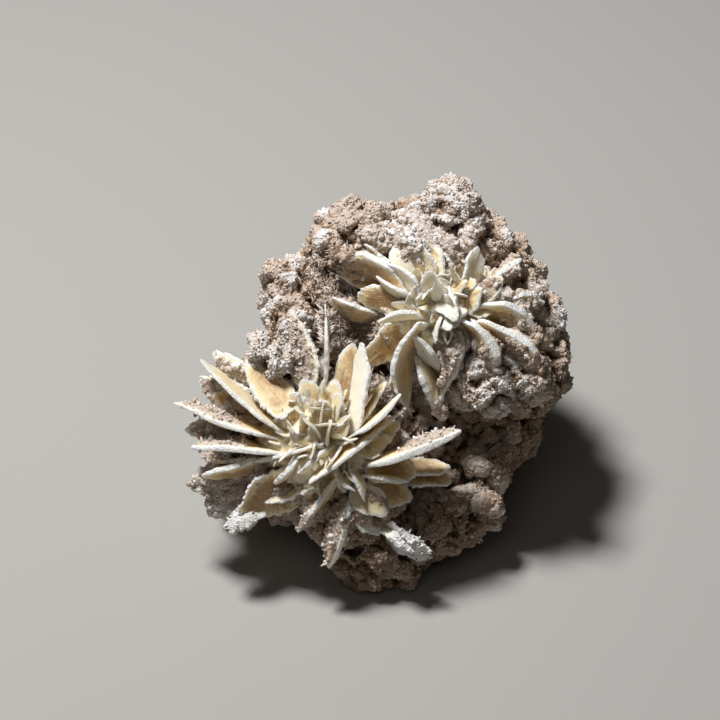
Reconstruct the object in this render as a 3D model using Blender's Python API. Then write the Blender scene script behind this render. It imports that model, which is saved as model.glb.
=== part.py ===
"""Desert rose selenite: two rosettes of gypsum blades grown on one sand-crusted mass, as one solid.

Metres, +Z up. The mass rests on a flat at Z = 0, whose middle is the origin, and the rosettes look
forward and up, towards -Y. Lumps and blades are placed in the frame of the rosettes' face, in
millimetres: x to the right, y up along the face, z out of it towards someone looking at the roses.
"""

import math
import random

import bmesh
import bpy
from mathutils import Matrix, Vector

MM = 0.001

# How the face lies: it looks up by this angle from level, and its middle is here from the origin.
FACE_ELEVATION = math.radians(40.0)
FACE_MIDDLE = Vector((-4.0, -14.0, 36.0))

# The mass: middle and radii of each lump, in the face's frame.
LUMPS = (
    ((11.0, 17.0, -18.5), (21.5, 21.0, 18.5)),  # behind the upper rosette
    ((-12.0, -9.0, -14.0), (21.0, 17.5, 18.0)),  # behind the lower rosette
    ((24.0, 4.8, -15.5), (14.0, 10.2, 15.0)),  # right corner
    ((19.4, -7.5, -22.0), (12.0, 11.0, 12.0)),  # wall of the recess under the corner
    ((29.0, 15.0, -13.0), (6.5, 6.0, 8.0)),  # above the corner
    ((12.0, -16.5, -19.5), (12.5, 12.0, 13.0)),  # lower right side
    ((1.0, -32.0, -11.0), (9.5, 9.0, 9.5)),  # foot
    ((4.0, -8.0, -27.0), (24.0, 20.0, 18.0)),  # back, which carries the flat
    ((10.0, 12.0, -32.0), (19.0, 15.0, 13.0)),  # back, under the upper rosette
    ((14.4, 36.0, -9.0), (4.6, 4.4, 5.5)),  # top bump
    ((-4.0, 28.0, -9.0), (9.2, 8.6, 10.0)),  # upper left bulge
    ((-18.6, 21.0, -6.0), (4.0, 4.6, 5.5)),  # left knob
    ((-12.0, 18.0, -9.0), (7.0, 8.0, 8.0)),  # between the knob and the bulge
    ((-17.5, 12.0, -3.0), (4.0, 6.5, 6.0)),  # ridge under the knob
    ((-10.0, 12.5, -6.0), (7.0, 6.0, 6.0)),  # floor of the gap between the rosettes
    ((-21.4, 6.0, 1.0), (3.6, 4.0, 4.6)),  # crusted knob in the lower rosette
    ((29.0, 2.6, -1.0), (4.6, 3.8, 4.0)),  # crust under the right blades
    ((21.5, 0.5, 0.5), (5.6, 4.2, 5.0)),
    ((20.6, -23.6, -10.0), (3.8, 4.2, 5.0)),  # lower right knobs
    ((21.6, -16.6, -9.0), (3.8, 3.4, 4.0)),
    ((12.5, -27.0, -9.0), (6.0, 6.0, 6.0)),
    ((-10.8, -11.0, 0.0), (13.5, 12.5, 8.5)),  # heart of the lower rosette
    ((-6.0, -22.0, -3.0), (10.0, 8.0, 7.5)),  # under the lower petals
    ((12.0, 16.5, -1.5), (12.5, 10.5, 8.5)),  # heart of the upper rosette
)
LUMP_DETAIL = 4
COVERED = 0.97  # within this share of another lump's radii, a point is covered by it
HEARTS = ((-10.8, -9.5), (12.8, 18.0))
HEART_CLEAR = 12.5  # no crust grows this near a heart
HEART_DEPTH = 0.6  # the share of a lump's depth down to which a heart is kept clear
FEWEST_POINTS = 6  # on any lump

# The nodules over the mass.
NODULE_SPACING = 5.8
NODULE_RADII = (2.2, 4.0)
NODULE_DETAIL = 2
NODULE_SUNK = 0.35  # of its radius

# The plates of crust that stand out of the mass. Shares are of a plate's size.
PLATE_SPACING = 24.0
PLATE_SIZES = (4.0, 6.5)
PLATE_LEAN = 40
PLATE_SLANT = 0.5
PLATE_FRONT = -6.0  # none stands nearer the face than this
PLATE_OUT, PLATE_SUNK = 0.55, 1.2
PLATE_BREADTH = 1.5
PLATE_THICKNESS = 2.2

VOXEL = 1.1
BODY_TRIANGLES = 2600

# Blades: tip, root, breadth, lean and thickness. A lean of 0 shows the edge and one of 90 the face.
# A positive lean turns the near edge clockwise round the rosette, seen from the front.
LOWER_BLADES = (
    ((-40.4, -3.0, 2.0), (-16.8, -10.6, 6.0), 12.0, -8, 1.4),
    ((-37.2, -10.9, 2.0), (-17.0, -12.1, 6.0), 11.0, -8, 1.4),
    ((-35.1, 5.7, 3.0), (-16.3, -10.7, 6.0), 13.0, -10, 1.3),
    ((-26.0, 4.8, 4.0), (-16.6, -5.8, 8.0), 10.0, -60, 1.2),
    ((-17.2, 8.8, 5.5), (-14.6, -1.0, 4.0), 5.5, 60, 1.0),
    ((-17.0, 15.6, 4.0), (-13.6, 0.0, 6.0), 7.5, 27, 1.2),
    ((-10.1, 16.8, 7.0), (-10.1, -3.4, 5.0), 9.0, 0, 0.9),
    ((-4.6, 8.8, 5.0), (-8.0, -7.4, 7.0), 8.5, -75, 1.0),
    ((-3.2, 9.2, 7.0), (-5.6, -9.8, 8.0), 9.0, 25, 1.1),
    ((1.3, 1.4, 4.0), (-4.4, -8.0, 7.0), 5.0, 30, 0.9),
    ((4.9, -1.4, 5.0), (-5.6, -10.0, 8.0), 9.0, 5, 1.1),
    ((4.3, -4.5, 7.0), (-14.7, -18.8, 8.0), 8.0, 20, 1.1),
    ((16.3, -8.7, 6.0), (-3.2, -15.6, 7.0), 12.0, 8, 1.6),
    ((6.4, -18.4, 5.0), (-4.0, -16.8, 6.0), 9.0, 0, 1.1),
    ((-1.9, -22.1, 8.0), (-5.6, -14.0, 7.0), 6.0, 25, 1.2),
    ((-5.0, -20.8, 9.0), (-8.8, -15.6, 7.0), 5.0, 10, 1.2),
    ((-19.9, -19.4, 7.0), (-14.4, -12.8, 7.0), 6.0, 15, 1.4),
    ((-24.6, -15.2, 5.0), (-8.6, -11.4, 8.0), 8.0, 25, 1.0),
    ((-34.9, -18.4, 2.0), (-21.6, -14.6, 4.0), 9.0, 20, 1.3),
    ((-33.3, -15.4, 1.0), (-23.2, -14.0, 3.0), 6.0, 0, 0.9),
    ((-27.2, -25.8, 2.0), (-15.6, -16.4, 5.0), 13.0, 60, 1.2),
    ((-22.4, -23.0, 4.0), (-11.0, -17.4, 6.0), 5.5, -50, 0.9),
    ((-30.4, -28.0, 1.0), (-22.0, -21.6, 2.0), 5.0, 70, 2.0),
    ((-15.5, -28.7, 3.0), (-8.0, -17.6, 8.0), 5.0, 20, 1.1),
    ((-10.4, -35.8, 2.0), (-6.2, -22.0, 6.0), 8.0, -35, 1.8),
    ((2.0, -25.0, 5.0), (-5.2, -20.0, 6.0), 8.0, 70, 0.9),
    ((0.4, -29.2, 3.0), (-4.8, -21.6, 4.0), 8.0, 60, 1.0),
    ((7.4, -17.2, 4.0), (-3.2, -14.8, 6.0), 8.0, 75, 0.9),
    ((6.4, -22.4, 2.0), (-3.0, -18.0, 4.0), 8.0, 70, 1.0),
    ((4.4, -7.2, 4.0), (-1.6, -10.8, 5.0), 5.0, 70, 0.9),
    ((9.6, -33.6, -1.0), (-0.6, -27.6, -1.0), 6.0, 60, 1.8),
    ((14.4, -16.2, -1.0), (2.0, -15.6, -2.0), 7.0, 40, 0.9),
    ((15.0, -18.8, -2.0), (3.0, -17.6, -3.0), 7.0, 40, 0.9),
)
LOWER_PLATES = (
    ((-35.6, 2.0, -1.0), (-24.0, -4.6, 1.0), 9.0, 75, 2.0),
    ((-38.2, -8.0, -2.0), (-28.0, -8.4, 0.0), 7.0, 70, 2.0),
    ((-37.6, -19.6, -3.0), (-25.6, -17.6, -1.0), 9.0, 70, 2.2),
    ((-34.6, -24.8, -4.0), (-24.6, -20.4, -2.0), 8.0, 65, 2.2),
    ((-33.2, 7.0, -1.0), (-24.0, 0.0, 1.0), 7.0, 60, 2.0),
    ((-32.8, -0.8, 2.2), (-28.4, -3.4, 0.5), 4.4, 80, 0.9),
    ((17.4, -25.4, -4.0), (4.6, -22.0, -8.0), 10.0, 75, 2.4),
)
LOWER_HEART = (
    ((-13.6, -3.8, 12.0), (-8.4, -4.6, 6.0), 5.0, 20, 0.8),
    ((-13.9, -5.7, 12.5), (-11.2, -9.8, 6.0), 4.4, 0, 0.8),
    ((-7.2, -1.0, 11.0), (-9.6, -6.4, 6.0), 6.0, 40, 0.8),
    ((-9.6, -6.6, 13.5), (-10.0, -12.0, 6.0), 4.4, 0, 0.8),
    ((-11.2, -2.6, 12.5), (-11.2, -8.0, 6.0), 4.4, 5, 0.8),
    ((-14.6, -5.4, 11.5), (-15.4, -10.4, 6.0), 5.0, -20, 0.8),
    ((-17.6, -6.4, 9.5), (-16.0, -10.8, 6.0), 5.0, 15, 0.8),
    ((-12.4, -7.0, 13.5), (-7.0, -7.4, 6.0), 4.4, 10, 0.8),
    ((-13.2, -13.8, 12.5), (-11.8, -9.8, 6.0), 4.4, 0, 0.8),
    ((-9.6, -15.8, 13.0), (-7.0, -11.0, 6.0), 5.0, 10, 0.9),
    ((-4.2, -10.4, 12.0), (-7.8, -10.0, 6.0), 5.0, 25, 0.9),
    ((-5.8, -5.2, 12.0), (-8.2, -7.8, 6.0), 4.4, 0, 0.8),
    ((0.0, -13.6, 9.5), (-4.0, -11.6, 6.0), 5.0, 50, 0.9),
    ((-17.0, -0.8, 8.5), (-14.0, -8.4, 6.0), 6.0, 60, 0.9),
    ((-9.2, 1.8, 8.5), (-10.6, -6.4, 6.0), 8.0, 75, 0.9),
    ((-14.6, 1.8, 8.5), (-12.0, -5.4, 6.0), 7.0, -70, 0.9),
)
UPPER_BLADES = (
    ((-8.0, 26.8, 3.0), (7.4, 18.0, 5.0), 12.0, 42, 1.9),
    ((2.0, 24.8, 7.0), (8.6, 18.6, 8.0), 6.0, 30, 1.2),
    ((-3.0, 28.8, 5.0), (3.8, 23.0, 4.0), 5.0, 20, 0.9),
    ((3.2, 28.2, 5.0), (6.2, 21.6, 6.0), 5.0, 75, 1.0),
    ((5.4, 29.0, 5.0), (11.0, 20.4, 7.0), 6.5, 50, 1.1),
    ((9.6, 30.0, 6.0), (11.6, 21.0, 7.0), 7.0, 50, 1.1),
    ((12.0, 31.8, 4.0), (16.0, 22.6, 4.5), 7.0, 30, 1.6),
    ((14.0, 24.4, 10.0), (16.0, 19.6, 5.5), 4.4, 70, 0.9),
    ((19.6, 28.0, 7.0), (18.0, 20.0, 7.0), 6.5, -50, 1.1),
    ((9.8, 22.6, 11.5), (12.4, 16.6, 5.5), 5.0, 70, 1.1),
    ((15.0, 13.6, 12.5), (12.0, 20.0, 5.5), 5.0, -60, 1.1),
    ((20.4, 19.8, 9.5), (15.6, 16.4, 5.5), 7.0, 65, 1.1),
    ((13.2, 11.6, 10.5), (16.8, 17.0, 6.5), 5.0, -60, 1.0),
    ((-4.5, 18.8, 4.0), (7.6, 16.6, 6.0), 6.5, 65, 1.0),
    ((-1.0, 21.6, 7.0), (6.6, 17.2, 8.0), 4.4, 20, 1.0),
    ((0.0, 13.6, 7.0), (9.6, 14.6, 8.0), 5.5, 15, 1.2),
    ((6.2, -2.8, 2.0), (10.4, 15.2, 7.0), 12.0, 32, 1.2),
    ((-2.0, 4.0, 2.0), (6.4, 13.6, 4.0), 9.0, 78, 1.0),
    ((3.2, -0.8, 0.0), (5.6, 8.6, 2.0), 5.0, 60, 1.0),
    ((13.6, -6.4, 1.0), (8.0, 8.6, 5.0), 10.0, 25, 1.2),
    ((7.4, 10.6, 9.0), (12.2, 3.6, 4.0), 5.0, 30, 1.5),
    ((12.4, -1.6, 5.0), (15.4, 12.0, 7.0), 9.0, -55, 1.1),
    ((10.6, 9.0, 10.0), (12.4, 14.8, 6.5), 4.4, 0, 0.9),
    ((24.8, 1.8, 4.0), (17.2, 15.0, 7.0), 11.0, -18, 2.0),
    ((33.0, 3.0, 2.0), (19.4, 14.4, 6.0), 12.0, -30, 2.0),
    ((33.0, 9.4, 2.0), (20.0, 17.6, 6.0), 11.0, -32, 1.8),
    ((24.8, 22.2, 6.0), (19.4, 17.6, 6.0), 6.0, 60, 1.6),
)
UPPER_PLATES = (
    ((-4.2, 31.2, 2.0), (6.0, 27.0, 1.0), 7.0, 10, 2.4),
    ((30.4, 14.8, 0.0), (23.6, 19.0, 0.0), 6.0, -20, 1.8),
    ((33.2, 20.6, -5.0), (28.0, 16.6, -5.0), 6.0, 30, 1.0),
    ((-9.6, 17.0, 2.0), (0.0, 13.4, 1.0), 7.0, 40, 1.4),
)
TIP_TAPER = 0.25  # how much narrower a blade is towards its tip
RIM_SHARPNESS = 5.0  # higher keeps a blade's faces flat closer to its rim
BLADE_SIDES = 8
SMALL_BLADE_SIDES = 6
BLADE_BANDS = 4
SMALL_BREADTH = 5.1
GROUND_SIZE = 200.0
FLAT_WITHIN = math.radians(3.0)  # faces that turn less than this are one flat

SEED = 7


def clear_scene():
    for old in list(bpy.data.objects):
        bpy.data.objects.remove(old, do_unlink=True)


def face_to_world():
    """From millimetres in the face's frame to metres in the world."""
    up, out = math.cos(FACE_ELEVATION), math.sin(FACE_ELEVATION)
    turn = Matrix(((1, 0, 0), (0, out, -up), (0, up, out))).to_4x4()
    return Matrix.Scale(MM, 4) @ Matrix.Translation(FACE_MIDDLE) @ turn


def covered(point, lump):
    middle, radii = lump
    reach = sum(((p - m) / r) ** 2 for p, m, r in zip(point, middle, radii))
    return reach < COVERED**2


def spread_points(spacing):
    """Points this far apart over the outside of the joined lumps, with the way each one faces."""
    golden = math.pi * (3.0 - math.sqrt(5.0))
    for lump in LUMPS:
        middle, radii = Vector(lump[0]), Vector(lump[1])
        size = sum(radii) / 3.0
        count = max(FEWEST_POINTS, round(4.0 * math.pi * size**2 / spacing**2))
        for i in range(count):
            height = 1.0 - (2.0 * i + 1.0) / count
            ring = math.sqrt(1.0 - height**2)
            way = Vector((ring * math.cos(golden * i), height, ring * math.sin(golden * i)))
            point = middle + way * radii
            if any(covered(point, other) for other in LUMPS if other is not lump):
                continue
            near_heart = min(math.dist(point.xy, heart) for heart in HEARTS)
            if near_heart < HEART_CLEAR and point.z > HEART_DEPTH * middle.z:
                continue
            facing = Vector([w / r for w, r in zip(way, radii)]).normalized()
            yield point, facing


def shape_blade(bm, tip, root, breadth, lean, thickness):
    """One lens-shaped blade from root to tip, with flat faces and a thinned rim."""
    tip, root = Vector(tip), Vector(root)
    along = (tip - root).normalized()
    near = Vector((0, 0, 1)) - along * along.z
    near.normalize()
    turned = math.radians(lean)
    across = near * math.cos(turned) + along.cross(near) * math.sin(turned)
    plate = Matrix((along, across, along.cross(across))).transposed()
    sides = SMALL_BLADE_SIDES if breadth < SMALL_BREADTH else BLADE_SIDES
    made = bmesh.ops.create_uvsphere(bm, u_segments=sides, v_segments=BLADE_BANDS, radius=1.0)
    middle, half_length = (tip + root) / 2.0, (tip - root).length / 2.0
    for vert in made["verts"]:
        far = min(1.0, math.hypot(vert.co.x, vert.co.y))
        side = math.copysign(math.sqrt(1.0 - far**RIM_SHARPNESS), vert.co.z)
        narrow = 1.0 - TIP_TAPER * (1.0 + vert.co.x) / 2.0
        vert.co = middle + plate @ Vector(
            (
                vert.co.x * half_length,
                vert.co.y * breadth / 2.0 * narrow,
                side * thickness / 2.0,
            )
        )


def join_object(name, bm, collection=None):
    """An object of this bmesh, turned from the face's frame to the world's."""
    bmesh.ops.transform(bm, matrix=face_to_world(), verts=bm.verts)
    bmesh.ops.recalc_face_normals(bm, faces=bm.faces)
    mesh = bpy.data.meshes.new(name)
    bm.to_mesh(mesh)
    bm.free()
    made = bpy.data.objects.new(name, mesh)
    (collection or bpy.context.scene.collection).objects.link(made)
    return made


def hide_helper(helper):
    helper.hide_render = True
    helper.display_type = "WIRE"


def applied(target):
    """The object's mesh as its modifiers leave it."""
    bpy.context.view_layer.update()
    graph = bpy.context.evaluated_depsgraph_get()
    return bpy.data.meshes.new_from_object(target.evaluated_get(graph))


def make_mass():
    """The crusted mass: lumps with small nodules over them, drawn into one skin."""
    rng = random.Random(SEED)
    bm = bmesh.new()
    for middle, radii in LUMPS:
        place = Matrix.Translation(middle) @ Matrix.Diagonal((*radii, 1.0))
        bmesh.ops.create_icosphere(bm, subdivisions=LUMP_DETAIL, radius=1.0, matrix=place)
    for point, facing in spread_points(NODULE_SPACING):
        radius = rng.uniform(*NODULE_RADII)
        place = Matrix.Translation(point - facing * radius * NODULE_SUNK)
        bmesh.ops.create_icosphere(bm, subdivisions=NODULE_DETAIL, radius=radius, matrix=place)
    mass = join_object("desert_rose_cluster", bm)
    skin = mass.modifiers.new("skin", "REMESH")
    skin.mode = "VOXEL"
    skin.voxel_size = VOXEL * MM
    drawn = applied(mass)
    thin = mass.modifiers.new("thin", "DECIMATE")
    thin.ratio = BODY_TRIANGLES / (2.0 * len(drawn.polygons))
    bpy.data.meshes.remove(drawn)
    mesh = applied(mass)
    mass.modifiers.clear()
    mass.data = mesh
    return mass


def crust_plates():
    """Thick crusted plates that stand out of the mass all round, away from the two rosettes."""
    rng = random.Random(SEED + 1)
    for point, facing in spread_points(PLATE_SPACING):
        size, lean = rng.uniform(*PLATE_SIZES), rng.uniform(-PLATE_LEAN, PLATE_LEAN)
        slant = Vector([rng.uniform(-PLATE_SLANT, PLATE_SLANT) for _ in range(3)])
        if point.z > PLATE_FRONT:
            continue
        way = (facing + slant).normalized()
        tip, root = point + way * size * PLATE_OUT, point - way * size * PLATE_SUNK
        yield tip, root, size * PLATE_BREADTH, lean, PLATE_THICKNESS


def make_blades():
    """Every blade and plate as its own closed solid, in one hidden collection."""
    blades = bpy.data.collections.new("blades")
    bpy.context.scene.collection.children.link(blades)
    groups = {
        "lower_blade": LOWER_BLADES,
        "lower_plate": LOWER_PLATES,
        "lower_heart": LOWER_HEART,
        "upper_blade": UPPER_BLADES,
        "upper_plate": UPPER_PLATES,
        "crust_plate": tuple(crust_plates()),
    }
    for group, rows in groups.items():
        for number, row in enumerate(rows, 1):
            bm = bmesh.new()
            shape_blade(bm, *row)
            hide_helper(join_object(f"{group}_{number:02d}", bm, blades))
    return blades


def make_ground():
    """What the underside is cut off flat by."""
    bm = bmesh.new()
    bmesh.ops.create_cube(bm, size=GROUND_SIZE * MM)
    down = Vector((0, 0, -GROUND_SIZE * MM / 2.0))
    bmesh.ops.translate(bm, vec=down, verts=bm.verts)
    mesh = bpy.data.meshes.new("ground")
    bm.to_mesh(mesh)
    bm.free()
    ground = bpy.data.objects.new("ground", mesh)
    bpy.context.scene.collection.objects.link(ground)
    hide_helper(ground)
    return ground


def skins_of(bm):
    """The separate closed skins of a mesh, each as its list of faces."""
    seen = set()
    for first in bm.faces:
        if first in seen:
            continue
        seen.add(first)
        skin, rest = [first], [first]
        while rest:
            near = {other for edge in rest.pop().edges for other in edge.link_faces}
            new = [face for face in near if face not in seen]
            seen.update(new)
            skin.extend(new)
            rest.extend(new)
        yield skin


def volume_of(skin):
    """Six times the volume that a triangulated skin encloses, below 0 where it faces inwards."""
    corners = [[vert.co for vert in face.verts] for face in skin]
    return sum(a.dot(b.cross(c)) for a, b, c in corners)


def tidy_skin(mesh):
    """Joins the faces that one flat was cut into, and fills the pockets that crossing blades close off."""
    bm = bmesh.new()
    bm.from_mesh(mesh)
    bmesh.ops.dissolve_limit(bm, angle_limit=FLAT_WITHIN, verts=bm.verts, edges=bm.edges)
    bmesh.ops.triangulate(bm, faces=bm.faces)
    pockets = [skin for skin in skins_of(bm) if volume_of(skin) < 0.0]
    inner = [face for skin in pockets for face in skin]
    bmesh.ops.delete(bm, geom=inner, context="FACES")
    bm.to_mesh(mesh)
    bm.free()


def gypsum():
    material = bpy.data.materials.new("sandy_gypsum")
    material.use_nodes = True
    shader = material.node_tree.nodes["Principled BSDF"]
    shader.inputs["Base Color"].default_value = (0.52, 0.42, 0.31, 1.0)
    shader.inputs["Roughness"].default_value = 0.8
    shader.inputs["Metallic"].default_value = 0.0
    return material


def make_cluster():
    cluster = make_mass()
    grown = cluster.modifiers.new("grown", "BOOLEAN")
    grown.operation = "UNION"
    grown.operand_type = "COLLECTION"
    grown.collection = make_blades()
    grown.solver = "EXACT"
    flat = cluster.modifiers.new("flat", "BOOLEAN")
    flat.operation = "DIFFERENCE"
    flat.object = make_ground()
    flat.solver = "EXACT"
    mesh = applied(cluster)
    cluster.modifiers.clear()
    tidy_skin(mesh)
    cluster.data = mesh
    cluster.data.materials.clear()
    cluster.data.materials.append(gypsum())
    return cluster


clear_scene()
make_cluster()
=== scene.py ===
"""Desert rose selenite: two rosettes of gypsum blades grown on one sand-crusted mass.

Metres, +Z up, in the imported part's frame. Lumps and blades are placed in the frame of the rosettes'
face, in millimetres: x to the right, y up along the face, z out of it towards someone looking at
the roses.
"""

import math
import random
from collections import namedtuple

import bmesh
import bpy
import numpy as np
from mathutils import Matrix, Vector, noise


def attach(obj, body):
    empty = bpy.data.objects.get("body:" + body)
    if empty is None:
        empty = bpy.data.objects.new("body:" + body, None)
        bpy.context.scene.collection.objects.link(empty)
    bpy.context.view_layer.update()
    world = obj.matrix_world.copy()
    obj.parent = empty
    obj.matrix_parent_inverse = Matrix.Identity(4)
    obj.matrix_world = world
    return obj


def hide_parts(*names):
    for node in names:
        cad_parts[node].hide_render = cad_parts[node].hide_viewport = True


MM = 0.001
NODE = "desert_rose_cluster"
SEED = 7

# How the face lies: it looks up by this angle from level, and its middle is here from the origin.
FACE_ELEVATION = math.radians(40.0)
FACE_MIDDLE = Vector((-4.0, -14.0, 36.0))

# The mass: middle and radii of each lump, in the face's frame.
LUMPS = (
    ((11.0, 17.0, -18.5), (21.5, 21.0, 18.5)),  # behind the upper rosette
    ((-12.0, -9.0, -14.0), (21.0, 17.5, 18.0)),  # behind the lower rosette
    ((24.0, 4.8, -15.5), (14.0, 10.2, 15.0)),  # right corner
    ((19.4, -7.5, -22.0), (12.0, 11.0, 12.0)),  # wall of the recess under the corner
    ((29.0, 15.0, -13.0), (6.5, 6.0, 8.0)),  # above the corner
    ((12.0, -16.5, -19.5), (12.5, 12.0, 13.0)),  # lower right side
    ((1.0, -32.0, -11.0), (9.5, 9.0, 9.5)),  # foot
    ((4.0, -8.0, -27.0), (24.0, 20.0, 18.0)),  # back, which carries the flat
    ((10.0, 12.0, -32.0), (19.0, 15.0, 13.0)),  # back, under the upper rosette
    ((14.4, 36.0, -9.0), (4.6, 4.4, 5.5)),  # top bump
    ((-4.0, 28.0, -9.0), (9.2, 8.6, 10.0)),  # upper left bulge
    ((-18.6, 21.0, -6.0), (4.0, 4.6, 5.5)),  # left knob
    ((-12.0, 18.0, -9.0), (7.0, 8.0, 8.0)),  # between the knob and the bulge
    ((-17.5, 12.0, -3.0), (4.0, 6.5, 6.0)),  # ridge under the knob
    ((-10.0, 12.5, -6.0), (7.0, 6.0, 6.0)),  # floor of the gap between the rosettes
    ((-21.4, 6.0, 1.0), (3.6, 4.0, 4.6)),  # crusted knob in the lower rosette
    ((29.0, 2.6, -1.0), (4.6, 3.8, 4.0)),  # crust under the right blades
    ((21.5, 0.5, 0.5), (5.6, 4.2, 5.0)),
    ((20.6, -23.6, -10.0), (3.8, 4.2, 5.0)),  # lower right knobs
    ((21.6, -16.6, -9.0), (3.8, 3.4, 4.0)),
    ((12.5, -27.0, -9.0), (6.0, 6.0, 6.0)),
    ((-10.8, -11.0, 0.0), (13.5, 12.5, 8.5)),  # heart of the lower rosette
    ((-6.0, -22.0, -3.0), (10.0, 8.0, 7.5)),  # under the lower petals
    ((12.0, 16.5, -1.5), (12.5, 10.5, 8.5)),  # heart of the upper rosette
)
LUMP_DETAIL = 4
COVERED = 0.97  # within this share of another lump's radii, a point is covered by it
HEARTS = ((-10.8, -9.5), (12.8, 18.0))
HEART_CLEAR = 12.5  # no crust grows this near a heart
HEART_DEPTH = 0.6  # the share of a lump's depth down to which a heart is kept clear
FEWEST_POINTS = 6  # on any lump

# The nodules over the mass.
NODULE_SPACING = 5.8
NODULE_RADII = (2.2, 4.0)
NODULE_DETAIL = 2
NODULE_SUNK = 0.35  # of its radius

# The plates of crust that stand out of the mass. Shares are of a plate's size.
PLATE_SPACING = 24.0
PLATE_SIZES = (4.0, 6.5)
PLATE_LEAN = 40
PLATE_SLANT = 0.5
PLATE_FRONT = -6.0  # none stands nearer the face than this
PLATE_OUT, PLATE_SUNK = 0.55, 1.2
PLATE_BREADTH = 1.5
PLATE_THICKNESS = 2.2

# The skin of the mass, in millimetres. A wave is how many there are to a millimetre, and its height.
VOXEL = 0.55
BENDS = ((0.22, 2.2), (0.7, 0.7))  # waves that bend the domes
DOMES = (  # across, high, and how much higher in a clump and between clumps
    (5.0, 1.0, 0.0, 0.0),
    (2.8, 0.8, 1.0, 0.0),
    (1.5, 0.7, 0.0, 0.6),
)
CLUMP_RATE, CLUMP_RANGE = 0.13, (-0.3, 0.35)
SWELL, FOLDS = (0.3, 1.1), (0.24, 2.6)
BETWEEN_FOLDS, SKIN_SUNK = 1.3, 2.7
HOLLOWS = ((6, 1.2), (40, 0.35))  # rounds of smoothing, which find finer and wider hollows, and weights
BARE_HEART, BARE_LEVELS = (9.5, 13.5), (-4.0, 0.0)  # where the crust sets in, off a heart and in depth

# Frost on the crust, and painted shade: the crust is painted brown down and to the right in the face's
# frame, the side that lies in shade.
FROST_RATE, FROST_RANGE, FROST_SHIFT = 0.16, (0.0, 0.4), Vector((3.0, 0.0, 7.0))
SHADE_FROM, SHADE_FADE, SHADE_SLOPE, DEEPEST_SHADE = -8.0, 20.0, 0.6, 0.8

# How a blade is finished: its tone from white to amber, the shares of its length from which crust
# covers its faces and its rim, whether only its upper face is crusted, how ragged its rim is in
# millimetres, how much sand is caught in it, how much narrower it is towards its tip, and how far
# its ends bow out of flat, where that is known.
BARE = 1.3
Finish = namedtuple(
    "Finish", "tone crust rim_crust one_side ragged sand taper bend",
    defaults=(BARE, BARE, False, 0.15, 0.1, 0.25, None),
)
FINISHES = {
    "edge": Finish(0.35),
    "sugared": Finish(0.50, crust=0.45, one_side=True, sand=0.5),
    "shelled": Finish(0.8, crust=0.4, rim_crust=0.8, ragged=0.04, sand=0.6, taper=0.15, bend=1.8),
    "pale": Finish(0.15, sand=0.1),
    "clear": Finish(0.65, sand=0.1),
    "amber": Finish(1.0, sand=0.4),
    "brown": Finish(1.0, ragged=0.25, sand=0.8, taper=0.2),
    "cream": Finish(0.40),
    "white": Finish(0.05, sand=0.0),
    "spired": Finish(0.5, crust=-1.0, sand=0.0, taper=0.8),
    "pointed": Finish(0.05, sand=0.0, taper=0.85),
    "ragged": Finish(0.30, ragged=0.5),
    "sandy": Finish(0.80, ragged=0.35, sand=1.0),
    "tipped": Finish(0.40, crust=0.7, rim_crust=0.8, ragged=0.2, sand=0.5),
    "arched": Finish(0.35, ragged=0.2, bend=-3.2),
    "hooked": Finish(0.05, sand=0.0, bend=-1.3),
    "smoky": Finish(1.0, ragged=0.4, sand=1.0),
    "golden": Finish(0.75, ragged=0.4, sand=0.1),
    "coated": Finish(0.55, crust=-1.0, ragged=0.3, taper=0.4),
    "crowned": Finish(0.35, crust=0.42, rim_crust=0.5, sand=0.3),
    "knobbed": Finish(0.95, crust=0.7, rim_crust=0.78, sand=0.6, bend=-1.5),
    "crusted": Finish(0.40, crust=-1.0, rim_crust=-1.0, ragged=0.4, taper=0.1),
    "snowy": Finish(0.0, crust=0.5, rim_crust=0.55, ragged=0.4, sand=0.0, taper=-0.3),
}

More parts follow.
